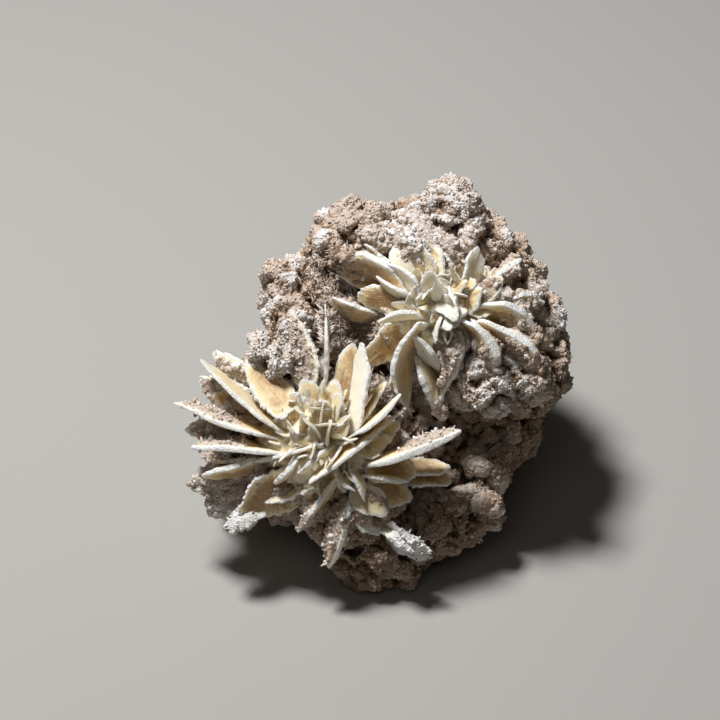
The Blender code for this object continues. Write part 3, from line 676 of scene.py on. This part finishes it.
def outline_tear(outline, ragged):
    """How far the rim is torn out or in here, in millimetres: waves, small chips and fine teeth."""
    waves = wave(outline, *RIM_WAVES) + wave(outline, RAGGED_RATE, ragged)
    chips = -ragged * smooth(*CHIP_RANGE, noise.noise(outline * CHIP_RATE + CHIP_SHIFT))
    teeth = wave(outline, *TEETH) + wave(outline, *FINE_TEETH)
    return waves + chips + (LEAST_TEETH + RAGGED_TEETH * ragged) * teeth


def crust_lumps(here, side):
    """The knobs of crust on a blade, from 0 between them to 1 at their tops."""
    shift = Vector((0, 0, side))
    return sum(height * dome(here / across + shift) for across, height in BLADE_KNOBS)


def shape_blade(bm, row, drift):
    """Shapes a lens into one flat blade with a crisp rim, crusted where its finish says."""
    tip, root, breadth, lean, thickness, finish = row
    look = FINISHES[finish]
    tip, root = Vector(tip), Vector(root)
    plate = blade_axes(tip, root, lean)
    middle = (tip + root) / 2.0
    half_length = (tip - root).length / 2.0
    half_breadth = breadth / 2.0
    slim = min(1.0, half_breadth / WIDE_RIM)
    layers = {name: bm.verts.layers.float[name] for name in BLADE_LAYERS}
    plate_layer = bm.verts.layers.float_vector["plate"]
    upper_side = 1.0 if plate.col[2].y > 0.0 else -1.0
    rng = random.Random(drift)
    cuts = outline_cuts(rng)
    bend = rng.uniform(-BEND, BEND)
    cup = rng.uniform(-BEND, BEND) / 2.0
    if look.bend is not None:
        bend = look.bend
    for vert in bm.verts:
        side = math.copysign(1.0, vert.co.z)
        turn = math.atan2(vert.co.y, vert.co.x)
        inset = (math.asin(min(1.0, abs(vert.co.z))) / (math.pi / 2.0)) ** RIM_CROWDING
        reach = math.hypot(math.cos(turn) * half_length, math.sin(turn) * half_breadth)
        far = 1.0 - inset * ((1.0 - inset) * half_breadth / reach + inset)
        x, y = blunted(math.cos(turn)) * far, blunted(math.sin(turn)) * far
        edge = inset * half_breadth
        skewed = drift + side * SIDE_SKEW * min(1.0, edge / RIM_BEVEL)
        outline = Vector((math.cos(turn) * half_length, math.sin(turn) * half_breadth, skewed))
        stretch = outline_reach(turn, cuts) + outline_tear(outline, look.ragged) / reach
        narrow = 1.0 - look.taper * (1.0 + x) / 2.0
        along_mm = x * half_length * stretch
        across_mm = y * half_breadth * narrow * stretch
        flat = (1.0 - (1.0 - min(1.0, edge / RIM_ROUND)) ** 2) ** 0.5
        flat *= RIM_SHARE + (1.0 - RIM_SHARE) * smooth(RIM_ROUND, RIM_BEVEL, edge)
        flat *= TIP_SHARE + (1.0 - TIP_SHARE) * (1.0 - x * x)
        here = Vector((along_mm, across_mm, drift))
        share = 0.5 + 0.5 * x + wave(here, *CRUST_WAVES)
        on_face = smooth(look.crust - FACE_FADE, look.crust + FACE_FADE, share)
        if look.one_side and side != upper_side:
            on_face *= OTHER_SIDE
        on_rim = smooth(look.rim_crust - RIM_FADE, look.rim_crust + RIM_FADE, share)
        crust = max(on_rim, on_face * smooth(*CRUST_INSET, edge))
        inward = KNOBS_AT_RIM + KNOBS_INWARD * smooth(0.0, KNOB_INSET, edge)
        knobs = CRUST_SKIN + crust_lumps(here, side) * inward
        half = (thickness / 2.0 + wave(here, *RIPPLES) + crust * knobs) * flat
        bow = bend * x * x + cup * y * y + sum(wave(here, *waves) for waves in BOW_WAVES)
        vert.co = middle + plate @ Vector((along_mm, across_mm, side * half + bow))
        vert[layers["edge"]] = edge / slim
        vert[layers["tone"]] = look.tone
        vert[layers["sand"]] = look.sand
        vert[layers["crust"]] = crust
        vert[plate_layer] = here


def lens_for(breadth):
    """The name of the template that is fine enough for a blade of this breadth."""
    if breadth < SMALL_BREADTH:
        return "tiny"
    return "small" if breadth < LARGE_BREADTH else "large"


def grow_blades(name, rows, material, size=None):
    """A group of blades as one piece, all of one size of template where it is given."""
    templates = {kind: lens(*numbers) for kind, numbers in LENSES.items()}
    joined = bmesh.new()
    for number, row in enumerate(rows, 1):
        bm = templates[size or lens_for(row[2])].copy()
        shape_blade(bm, row, number * BLADE_SHIFT)
        blade = mesh_from(bm, "blade")
        add_copy(joined, blade, face_to_world())
        bpy.data.meshes.remove(blade)
    bmesh.ops.recalc_face_normals(joined, faces=joined.faces)
    cut_flat(joined)
    mesh = mesh_from(joined, name)
    mesh.shade_smooth()
    mesh.set_sharp_from_angle(angle=SHARP)
    return finished(name, mesh, material)


def heart_fillers():
    """Short blades that stand up and outwards round the middle of each heart."""
    rng = random.Random(SEED + 2)
    for (middle, radii), reach, count, most_lean, finishes in HEART_FILLS:
        for _ in range(count):
            way = rng.uniform(0.0, math.tau)
            out = math.sqrt(rng.random())
            off = Vector((math.cos(way), math.sin(way), 0.0)) * out * reach
            level = math.sqrt(1.0 - (off.x / radii[0]) ** 2 - (off.y / radii[1]) ** 2)
            foot = Vector(middle) + off + Vector((0, 0, radii[2] * level - FILL_SUNK))
            open_out = way + rng.uniform(-FILL_TURN, FILL_TURN)
            spread, rise = (low + more * out for low, more in (FILL_SPREAD, FILL_RISE))
            up = Vector((math.cos(open_out) * spread, math.sin(open_out) * spread, rise))
            tip = foot + up.normalized() * rng.uniform(*FILL_LENGTHS)
            breadth = rng.uniform(*FILL_BREADTHS)
            lean = rng.uniform(-most_lean, most_lean)
            yield tip, foot, breadth, lean, rng.uniform(*FILL_THICKNESSES), rng.choice(finishes)


def crust_plates():
    """Thick crusted plates that stand out of the mass all round, away from the two rosettes."""
    rng = random.Random(SEED + 1)
    for point, facing in spread_points(PLATE_SPACING):
        size = rng.uniform(*PLATE_SIZES)
        lean = rng.uniform(-PLATE_LEAN, PLATE_LEAN)
        slant = Vector([rng.uniform(-PLATE_SLANT, PLATE_SLANT) for _ in range(3)])
        if point.z > PLATE_FRONT:
            continue
        way = (facing + slant).normalized()
        tip = point + way * size * PLATE_OUT
        root = point - way * size * PLATE_SUNK
        yield tip, root, size * PLATE_BREADTH, lean, PLATE_THICKNESS, "crusted"


# The crystals of the crust.


def crystal(sides, proportions, bands):
    """A small crystal or knob between two points, as arrays of corners and triangles."""
    bm = bmesh.new()
    bmesh.ops.create_uvsphere(bm, u_segments=sides, v_segments=bands, radius=1.0)
    bmesh.ops.scale(bm, vec=proportions, verts=bm.verts)
    bm = in_order(bm)
    bmesh.ops.triangulate(bm, faces=bm.faces)
    corners = np.array([vert.co for vert in bm.verts])
    faces = np.array(corners_of(bm.faces))
    bm.free()
    return corners, faces


def unit(vectors):
    """These rows, each one unit long."""
    return vectors / np.linalg.norm(vectors, axis=1, keepdims=True)


def scatter(piece, cover, spacing, rng):
    """Points over a piece, this far apart in millimetres where cover is 1: place, way out, triangle."""
    mesh = piece.data
    mesh.calc_loop_triangles()
    triangles = read(mesh.loop_triangles, "vertices", 3, np.int32)
    a, b, c = (points_of(mesh)[triangles[:, i]] for i in range(3))
    square = np.cross(b - a, c - a)
    area = np.linalg.norm(square, axis=1) / 2.0
    weight = area * cover[triangles].mean(axis=1)
    count = int(weight.sum() / (spacing * MM) ** 2)
    if not count:
        return np.empty((0, 3)), np.empty((0, 3)), triangles[:0]
    chosen = rng.choice(len(triangles), count, p=weight / weight.sum())
    u, v = rng.random((2, count, 1))
    over = u + v > 1.0
    u, v = np.where(over, 1.0 - u, u), np.where(over, 1.0 - v, v)
    places = a[chosen] + (b[chosen] - a[chosen]) * u + (c[chosen] - a[chosen]) * v
    return places, unit(square[chosen]), triangles[chosen]


def grow_crystals(name, growth, places, outs, sizes, tones, rng, material):
    """Crystals of one growth at these places, as one piece."""
    corners, faces = crystal(*CRYSTALS[growth.shape])
    count = len(places)
    lengthwise = unit(outs * growth.stand + unit(rng.normal(size=(count, 3))))
    through = unit(np.cross(lengthwise, rng.normal(size=(count, 3))))
    across = np.cross(through, lengthwise)
    axes = np.stack([lengthwise, across, through], axis=1)
    sized = corners[None] * (sizes * MM)[:, None, None]
    middles = places + outs * (sizes * growth.raised * MM)[:, None]
    points = np.einsum("nij,njk->nik", sized, axes) + middles[:, None]
    joined = (faces[None] + (np.arange(count) * len(corners))[:, None, None]).reshape(-1, 3)
    mesh = bpy.data.meshes.new(name)
    mesh.from_pydata(points.reshape(-1, 3), [], joined)
    mesh.shade_smooth()
    store(mesh, "tone", np.repeat(tones, len(corners)))
    return finished(name, mesh, material)


def read_values(piece, name):
    """What is kept under this name for each vertex of a piece."""
    return read(piece.data.attributes[name].data, "value", 1)[:, 0].astype(float)


def values_at(piece, name, triangles):
    """What is kept under this name in the middle of each of these triangles."""
    return read_values(piece, name)[triangles].mean(axis=1)


def near_places(points, places):
    """1 near any of these places in the face's frame, each a middle and a reach, and 0 beyond."""
    local = in_face(points)
    shares = []
    for middle, reach in places:
        far = np.linalg.norm(local - np.array(middle), axis=1)
        shares.append(np.clip(PLACE_FADE - PLACE_FADE * far / reach, 0.0, 1.0))
    return np.max(shares, axis=0)


def mass_tones(piece, places, triangles):
    """The tones of grains on the mass: whiter where frosted, with painted shade that darkens them in
    the hollows and down to the right.
    """
    frost_and_shade = values_at(piece, "frost_and_shade", triangles)
    depth = values_at(piece, "hollow", triangles)
    return PLAIN_TONE + FROST_TONE * frost_and_shade - HOLLOW_SHADE_TONE * depth


def blade_tones(piece, places, triangles):
    """The tones of the crust on blades: whiter on paler blades and where frosted, and darker on toned
    blades in the painted shade down to the right.
    """
    amber = values_at(piece, "tone", triangles)
    return WHITEST - amber * (AMBER_TONE - AMBER_FROST * frost_and_shade_shares(places))


def knob_tones(piece, places, triangles):
    """The tones of the knobs that these grains grow on."""
    return values_at(piece, "tone", triangles)


# Each crystal's sides, proportions and bands from end to end.
CRYSTALS = {
    "scale": (4, (1.0, 0.8, 0.65), 2),
    "flake": (6, (1.0, 0.62, 0.2), 2),
    "fibre": (4, (1.0, 0.13, 0.13), 2),
    "feather": (4, (1.0, 0.2, 0.2), 2),
    "knob": (7, (1.0, 0.75, 0.55), 4),
}

# How crystals grow: their shape, how far apart and how long they are in millimetres, how much that
# length varies, how squarely they stand out, how far out their middles are as a share of their length,
# their tone from brown to white, how much it varies, and the whitest tone where there is a limit.
Growth = namedtuple(
    "Growth", "shape spacing size spread stand raised tone tone_spread whitest", defaults=(math.inf,)
)
MASS_GRAINS = Growth("scale", 0.6, 0.4, 0.25, 0.7, -0.1, mass_tones, 0.06)
MASS_FLAKES = Growth("flake", 1.1, 0.5, 0.25, 1.6, 0.3, 0.75, 0.15, 1.0)
MASS_FIBRES = Growth("fibre", 0.4, 0.95, 0.25, 1.4, 0.5, 0.75, 0.2, 1.0)
BLADE_GRAINS = Growth("scale", 0.65, 0.38, 0.28, 0.6, -0.25, blade_tones, 0.1)
BLADE_FLAKES = Growth("flake", 1.5, 0.6, 0.3, 2.0, 0.3, 0.95, 0.15)
KNOBS = Growth("knob", 1.3, 0.72, 0.35, 0.3, -0.15, blade_tones, 0.17)
KNOB_GRAINS = Growth("scale", 0.5, 0.3, 0.28, 0.6, -0.2, knob_tones, 0.1)
FEATHERS = Growth("feather", None, 0.9, 0.25, 3.0, 0.7, 0.85, 0.15, 1.0)


def sizes_and_tones(growth, count, tone, rng):
    """Lengths and tones for this many crystals of one growth."""
    sizes = growth.size * np.exp(growth.spread * rng.normal(size=count))
    tones = tone + growth.tone_spread * rng.normal(size=count)
    return sizes, np.minimum(tones, growth.whitest)


def grow_over(names, growth, piece, cover, rng, material):
    """Crystals of one growth over a piece, where cover says, shared out over pieces of these names."""
    places, outs, triangles = scatter(piece, cover, growth.spacing, rng)
    if not len(places):
        return []
    tone = growth.tone(piece, places, triangles) if callable(growth.tone) else growth.tone
    sizes, tones = sizes_and_tones(growth, len(places), tone, rng)
    share = len(places) // len(names)
    grown = []
    for number, name in enumerate(names):
        part = slice(number * share, (number + 1) * share)
        drawn = (places[part], outs[part], sizes[part], tones[part])
        grown.append(grow_crystals(name, growth, *drawn, rng, material))
    return grown


def above_ground(points):
    """0 where a crystal would reach into the ground, and 1 higher up."""
    return np.clip((points[:, 2] / MM - LOWEST_GRAIN) / LOWEST_GRAIN, 0.0, 1.0)


def cover_shares(hollow, on_knobs, hollow_loss, least):
    """How thickly crystals cover the mass, from its knobs down into its hollows."""
    return np.clip(on_knobs - hollow_loss * hollow, least, 1.0)


def grow_crust(mass, blades, material):
    """Sugary scales over the mass and the crusted ends of the blades, with knobs, flakes and fibres."""
    rng = np.random.default_rng(SEED)
    hollow = read_values(mass, "hollow")
    points = points_of(mass.data)
    above = above_ground(points)
    crusted = above * (1.0 - read_values(mass, "heart"))
    names = [f"crust_grains_{number + 1}" for number in range(GRAIN_PIECES)]
    grainy = crusted * cover_shares(hollow, *GRAIN_COVER)
    grow_over(names, MASS_GRAINS, mass, grainy, rng, material)
    tops = crusted * cover_shares(hollow, *FLAKE_COVER)
    flaky = tops * (FLAKES_ANYWHERE + near_places(points, FLAKE_PLACES))
    grow_over(["crust_flakes"], MASS_FLAKES, mass, flaky, rng, material)
    fibrous = above * near_places(points, FIBRE_PLACES)
    grow_over(["crust_fibres"], MASS_FIBRES, mass, fibrous, rng, material)
    for piece in blades:
        crust = read_values(piece, "crust") * above_ground(points_of(piece.data))
        if not grow_over([f"{piece.name}_grains"], BLADE_GRAINS, piece, crust, rng, material):
            continue
        if piece.name in FLAKY:
            grow_over([f"{piece.name}_flakes"], BLADE_FLAKES, piece, crust, rng, material)
        if piece.name in KNOBBY:
            knobs = grow_over([f"{piece.name}_knobs"], KNOBS, piece, crust, rng, material)[0]
            everywhere = np.ones(len(knobs.data.vertices))
            grow_over([f"{knobs.name}_grains"], KNOB_GRAINS, knobs, everywhere, rng, material)


def grow_feathers(material):
    """The short needles that fringe both sides of the tall thin blade of the lower rosette."""
    rng = np.random.default_rng(SEED + 3)
    across, top, front = FEATHERED[0]
    share = rng.random(FEATHER_COUNT)
    side = rng.choice((-1.0, 1.0), FEATHER_COUNT)
    local = np.column_stack([
        across + side * FEATHER_SIDE,
        FEATHER_FROM + (top - BARE_TIP - FEATHER_FROM) * share,
        front + FEATHER_FRONT - FEATHER_DEPTH * rng.random(FEATHER_COUNT),
    ])
    least_rise, more_rise = FEATHER_RISE
    ways = np.column_stack([
        side,
        least_rise + more_rise * rng.random(FEATHER_COUNT),
        FEATHER_SPLAY * rng.normal(size=FEATHER_COUNT),
    ])
    place = np.array(face_to_world())
    places = local @ place[:3, :3].T + place[:3, 3]
    outs = unit(ways @ place[:3, :3].T)
    sizes, tones = sizes_and_tones(FEATHERS, FEATHER_COUNT, FEATHERS.tone, rng)
    grow_crystals("feathers", FEATHERS, places, outs, sizes, tones, rng, material)


# Finishes.


def group_of(name, inputs, outputs):
    """A new shader node group with these float and vector sockets, and its two ends."""
    group = bpy.data.node_groups.new(name, "ShaderNodeTree")
    for socket, kind in inputs:
        group.interface.new_socket(socket, in_out="INPUT", socket_type=kind)
    for socket, kind in outputs:
        group.interface.new_socket(socket, in_out="OUTPUT", socket_type=kind)
    return group, group.nodes.new("NodeGroupInput"), group.nodes.new("NodeGroupOutput")


def noise_node(tree, vector, scale, detail, roughness=0.5):
    """A soft random pattern, this many spots to a unit of its vector."""
    node = tree.nodes.new("ShaderNodeTexNoise")
    node.inputs["Scale"].default_value = scale
    node.inputs["Detail"].default_value = detail
    node.inputs["Roughness"].default_value = roughness
    tree.links.new(vector, node.inputs["Vector"])
    return node.outputs["Fac"]


def ranged(tree, value, from_min, from_max, to_min=0.0, to_max=1.0):
    """Moves a value from one range to another, and holds it there."""
    node = tree.nodes.new("ShaderNodeMapRange")
    tree.links.new(value, node.inputs["Value"])
    for socket, number in zip(
        ("From Min", "From Max", "To Min", "To Max"), (from_min, from_max, to_min, to_max)
    ):
        node.inputs[socket].default_value = number
    return node.outputs["Result"]


def maths(tree, operation, first, second):
    """A Math node on two sockets, or on a socket and a number."""
    node = tree.nodes.new("ShaderNodeMath")
    node.operation = operation
    for socket, value in zip(node.inputs, (first, second)):
        if isinstance(value, (int, float)):
            socket.default_value = value
        else:
            tree.links.new(value, socket)
    return node.outputs["Value"]


def blended(tree, share, first, second):
    """Mixes two colours, each a socket or a tuple of red, green and blue."""
    node = tree.nodes.new("ShaderNodeMix")
    node.data_type = "RGBA"
    tree.links.new(share, node.inputs[0])
    for socket, colour in zip((node.inputs[6], node.inputs[7]), (first, second)):
        if isinstance(colour, tuple):
            socket.default_value = (*colour, 1.0)
        else:
            tree.links.new(colour, socket)
    return node.outputs[2]


def combined(tree, *values):
    """A vector of these sockets."""
    node = tree.nodes.new("ShaderNodeCombineXYZ")
    for socket, value in zip(node.inputs, values):
        tree.links.new(value, socket)
    return node.outputs["Vector"]


def scaled(tree, vector, scale):
    """A vector stretched along each axis."""
    node = tree.nodes.new("ShaderNodeMapping")
    node.inputs["Scale"].default_value = scale
    tree.links.new(vector, node.inputs["Vector"])
    return node.outputs["Vector"]


def attribute(tree, name, output="Fac"):
    """What the piece keeps under this name."""
    node = tree.nodes.new("ShaderNodeAttribute")
    node.attribute_name = name
    return node.outputs[output]


def object_millimetres(tree):
    """The place on the object, in millimetres."""
    coordinates = tree.nodes.new("ShaderNodeTexCoord")
    return scaled(tree, coordinates.outputs["Object"], (1.0 / MM,) * 3)


def grain_group():
    """Sugary grain: a height of fine crystals, and a mask that picks out the brighter ones."""
    group, ins, outs = group_of(
        "sugar grain",
        [("Millimetres", "NodeSocketVector")],
        [("Height", "NodeSocketFloat"), ("Glint", "NodeSocketFloat")],
    )
    cells = group.nodes.new("ShaderNodeTexVoronoi")
    cells.inputs["Scale"].default_value = 2.6
    group.links.new(ins.outputs["Millimetres"], cells.inputs["Vector"])
    fine = noise_node(group, ins.outputs["Millimetres"], 5.0, 3.0, 0.6)
    height = maths(group, "SUBTRACT", fine, cells.outputs["Distance"])
    group.links.new(height, outs.inputs["Height"])
    glint = ranged(group, fine, 0.45, 0.75)
    group.links.new(glint, outs.inputs["Glint"])
    return group


def place_group(tree, group, **sources):
    """A node group in a material, with these sources on its inputs."""
    node = tree.nodes.new("ShaderNodeGroup")
    node.node_tree = group
    for socket, source in sources.items():
        tree.links.new(source, node.inputs[socket])
    return node


def new_material(name):
    """A material with its node tree and its shader."""
    material = bpy.data.materials.new(name)
    material.use_nodes = True
    return material, material.node_tree, material.node_tree.nodes["Principled BSDF"]


def bumped(tree, shader, height, strength, distance):
    """Raises the surface by a height, over this distance in millimetres."""
    bump = tree.nodes.new("ShaderNodeBump")
    bump.inputs["Strength"].default_value = strength
    bump.inputs["Distance"].default_value = distance * MM
    tree.links.new(height, bump.inputs["Height"])
    tree.links.new(bump.outputs["Normal"], shader.inputs["Normal"])


# Painted shade in the crust's hollows.
CRUST_HOLLOW_SHADE = (0.055, 0.033, 0.019)
# Painted shade down and to the right of the crust.
CRUST_SHADE_BROWN = (0.21, 0.14, 0.09)
CRUST_TAN = (0.42, 0.285, 0.18)
CRUST_ROSY = (0.44, 0.325, 0.25)
CRUST_PALE = (0.57, 0.465, 0.385)
CRUST_FROST = (0.68, 0.665, 0.665)
# The hearts' cream gypsum, painted paler to stand in for light glowing through the blades.
HEART_CREAM_AND_GLOW = (0.88, 0.77, 0.56)
# Painted shade on the grains in hollows and down to the right.
GRAIN_SHADE_BROWN = (0.09, 0.054, 0.031)
GRAIN_WHITE = (0.86, 0.85, 0.84)
SUGAR_WHITE = (0.84, 0.82, 0.80)
SUGAR_TAN = (0.55, 0.44, 0.34)
BLADE_CREAM = (0.96, 0.895, 0.77)
BLADE_HONEY = (0.92, 0.75, 0.46)
BLADE_AMBER = (0.50, 0.32, 0.155)
BLADE_FROST = (0.97, 0.945, 0.895)
CAUGHT_SAND = (0.27, 0.175, 0.10)
FLOOR_GREY = (0.37, 0.36, 0.34, 1.0)


def sand_colour(tree, place):
    """Sand that drifts between tan and rosy."""
    drift = noise_node(tree, place, 0.09, 3.0)
    return blended(tree, ranged(tree, drift, 0.42, 0.58), CRUST_TAN, CRUST_ROSY)


def sandy_crust():
    """The mass: tan and rosy sand on its sides, with painted light and shade: pale on its knobs, dark
    in its crevices, brown down to the right, and cream hearts painted paler.
    """
    material, tree, shader = new_material("sandy crust")
    place = object_millimetres(tree)
    grain = place_group(tree, GRAIN, Millimetres=place)
    hollow, frost_and_shade = attribute(tree, "hollow"), attribute(tree, "frost_and_shade")
    # Painted highlight: paler on the knobs, where the skin is least hollow.
    knobs = blended(tree, ranged(tree, hollow, 0.45, 0.15), sand_colour(tree, place), CRUST_PALE)
    # Painted shade: brown down and to the right.
    knobs = blended(tree, ranged(tree, frost_and_shade, 0.0, -1.0), knobs, CRUST_SHADE_BROWN)
    frosted = maths(tree, "MULTIPLY", frost_and_shade, ranged(tree, hollow, 0.6, 0.2))
    knobs = blended(tree, frosted, knobs, CRUST_FROST)
    # Painted shade: near black in the hollows.
    deep = blended(tree, ranged(tree, hollow, 0.5, 0.85), knobs, CRUST_HOLLOW_SHADE)
    glinting = blended(tree, maths(tree, "MULTIPLY", grain.outputs["Glint"], 0.25), deep, CRUST_PALE)
    # The hearts are cream gypsum, painted paler for light glowing through the blades.
    colour = blended(tree, attribute(tree, "heart"), glinting, HEART_CREAM_AND_GLOW)
    tree.links.new(colour, shader.inputs["Base Color"])
    shader.inputs["Roughness"].default_value = 0.85
    bumped(tree, shader, grain.outputs["Height"], 0.5, 0.3)
    return material


def crystal_grains():
    """The crust's small crystals: dark brown where painted shade lowers their tone, sandy tan, or
    nearly white, one tone to a crystal.
    """
    material, tree, shader = new_material("crystal grains")
    tone = attribute(tree, "tone")
    place = object_millimetres(tree)
    grain = place_group(tree, GRAIN, Millimetres=place)
    # Painted shade: grains of the lowest tones go dark brown.
    low = blended(tree, ranged(tree, tone, 0.0, 0.4), GRAIN_SHADE_BROWN, sand_colour(tree, place))
    high = blended(tree, ranged(tree, tone, 0.45, 0.8), low, CRUST_PALE)
    colour = blended(tree, ranged(tree, tone, 0.8, WHITEST), high, GRAIN_WHITE)
    tree.links.new(colour, shader.inputs["Base Color"])
    rough = ranged(tree, grain.outputs["Glint"], 0.0, 1.0, 0.9, 0.6)
    tree.links.new(rough, shader.inputs["Roughness"])
    bumped(tree, shader, grain.outputs["Height"], 0.4, 0.15)
    return material


def selenite():
    """The blades: cream to amber faces with growth lines along the rim, and white frosted rims."""
    material, tree, shader = new_material("selenite blades")
    plate = attribute(tree, "plate", "Vector")
    edge, tone = attribute(tree, "edge"), attribute(tree, "tone")
    sand, crust = attribute(tree, "sand"), attribute(tree, "crust")
    grain = place_group(tree, GRAIN, Millimetres=object_millimetres(tree))
    cloud = noise_node(tree, plate, 0.35, 3.0, 0.55)
    wander = noise_node(tree, plate, 0.9, 3.0, 0.6)
    growth = noise_node(tree, combined(tree, edge, cloud), 2.2, 2.0)
    streaks = noise_node(tree, scaled(tree, plate, (0.15, 1.0, 1.0)), 2.6, 3.0, 0.6)
    lines = maths(tree, "ADD", growth, streaks)
    band = maths(tree, "ADD", edge, ranged(tree, wander, 0.3, 0.7, -0.6, 0.6))
    inward = ranged(tree, band, 0.4, 3.0, 0.25, 1.15)
    depth = maths(tree, "MULTIPLY", tone, ranged(tree, cloud, 0.25, 0.7, 0.6, 1.35))
    depth = maths(tree, "MULTIPLY", depth, inward)
    depth = maths(tree, "ADD", depth, ranged(tree, lines, 0.7, 1.3, -0.14, 0.14))
    pale = blended(tree, ranged(tree, depth, 0.0, 0.45), BLADE_CREAM, BLADE_HONEY)
    face = blended(tree, ranged(tree, depth, 0.45, 1.1), pale, BLADE_AMBER)
    specks = noise_node(tree, plate, 1.6, 5.0, 0.7)
    caught = maths(tree, "MULTIPLY", ranged(tree, specks, 0.55, 0.66), sand)
    sanded = blended(tree, caught, face, CAUGHT_SAND)
    frosted = blended(tree, ranged(tree, band, 0.9, 0.1), sanded, BLADE_FROST)
    sugar = blended(tree, ranged(tree, tone, 0.0, 0.6), SUGAR_WHITE, SUGAR_TAN)
    sugar = blended(tree, maths(tree, "MULTIPLY", grain.outputs["Glint"], 0.5), sugar, CRUST_PALE)
    colour = blended(tree, crust, frosted, sugar)
    tree.links.new(colour, shader.inputs["Base Color"])
    rough = ranged(tree, edge, 1.2, 0.2, 0.42, 0.65)
    rougher = maths(tree, "MAXIMUM", rough, maths(tree, "MULTIPLY", crust, 0.85))
    tree.links.new(rougher, shader.inputs["Roughness"])
    shader.inputs["Subsurface Weight"].default_value = 0.7
    shader.inputs["Subsurface Radius"].default_value = (1.0, 0.92, 0.8)
    shader.inputs["Subsurface Scale"].default_value = 1.1 * MM
    rough_rim = maths(tree, "MAXIMUM", ranged(tree, band, 1.2, 0.2, 0.12, 0.9), crust)
    relief = maths(tree, "MULTIPLY", grain.outputs["Height"], rough_rim)
    relief = maths(tree, "ADD", maths(tree, "MULTIPLY", lines, 0.8), relief)
    bumped(tree, shader, relief, 0.8, 0.35)
    return material


# The studio.


def make_floor():
    """The pale floor."""
    bm = bmesh.new()
    bmesh.ops.create_grid(bm, x_segments=1, y_segments=1, size=FLOOR_SIZE)
    floor = placed("studio_floor", mesh_from(bm, "studio_floor"))
    material, _, shader = new_material("pale floor")
    shader.inputs["Base Color"].default_value = FLOOR_GREY
    shader.inputs["Roughness"].default_value = 0.9
    floor.data.materials.append(material)


def make_lamp(name, way, distance, size, energy):
    """A square soft lamp that shines on the roses from this way in the face's frame."""
    data = bpy.data.lights.new(name, "AREA")
    data.size = size
    data.energy = energy
    lamp = placed(name, data)
    out = (face_to_world().to_3x3() @ Vector(way)).normalized()
    lamp.location = FACE_MIDDLE * MM + out * distance
    lamp.rotation_euler = (-out).to_track_quat("-Z", "Y").to_euler()


def make_camera():
    """The camera, which looks square on to the rosettes' face."""
    place = face_to_world()
    data = bpy.data.cameras.new("camera")
    data.sensor_width = SENSOR
    data.lens = SENSOR * VIEW_DISTANCE / PICTURE_WIDTH
    data.clip_start = NEAREST
    data.clip_end = FARTHEST
    camera = placed("camera", data)
    turn = place.to_3x3().normalized().to_4x4()
    eye = PICTURE_MIDDLE + Vector((0, 0, VIEW_DISTANCE))
    camera.matrix_world = Matrix.Translation(place @ eye) @ turn
    bpy.context.scene.camera = camera


def light_studio():
    """The lamps, and a little light from the room."""
    world = bpy.data.worlds.new("studio")
    world.use_nodes = True
    background = world.node_tree.nodes["Background"]
    background.inputs["Color"].default_value = ROOM_LIGHT
    background.inputs["Strength"].default_value = ROOM_STRENGTH
    bpy.context.scene.world = world
    bpy.context.scene.view_settings.view_transform = "Standard"
    for name, (way, distance, size, energy) in LAMPS.items():
        make_lamp(name, way, distance, size, energy)


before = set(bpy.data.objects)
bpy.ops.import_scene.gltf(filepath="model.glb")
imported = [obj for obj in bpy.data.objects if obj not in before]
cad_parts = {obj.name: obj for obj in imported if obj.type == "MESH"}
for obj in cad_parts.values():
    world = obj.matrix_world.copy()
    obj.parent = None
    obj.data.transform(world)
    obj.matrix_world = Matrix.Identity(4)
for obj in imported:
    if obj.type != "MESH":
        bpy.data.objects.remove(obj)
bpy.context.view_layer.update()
noise.seed_set(SEED)  # so that the crust bends the same way each time
GRAIN = grain_group()
mass = make_mass()
blade_finish = selenite()
grain_finish = crystal_grains()
groups = {
    "lower_blades": LOWER_BLADES,
    "lower_plates": LOWER_PLATES,
    "lower_heart": LOWER_HEART,
    "upper_blades": UPPER_BLADES,
    "upper_heart": UPPER_HEART,
    "upper_plates": UPPER_PLATES,
    "heart_fillers": tuple(heart_fillers()),
    "crust_plates": tuple(crust_plates()),
}
small_lens = {"crust_plates": "small", "heart_fillers": "tiny"}
blades = [
    grow_blades(name, rows, blade_finish, small_lens.get(name)) for name, rows in groups.items()
]
grow_crust(mass, blades, grain_finish)
grow_feathers(grain_finish)
make_floor()
light_studio()
make_camera()
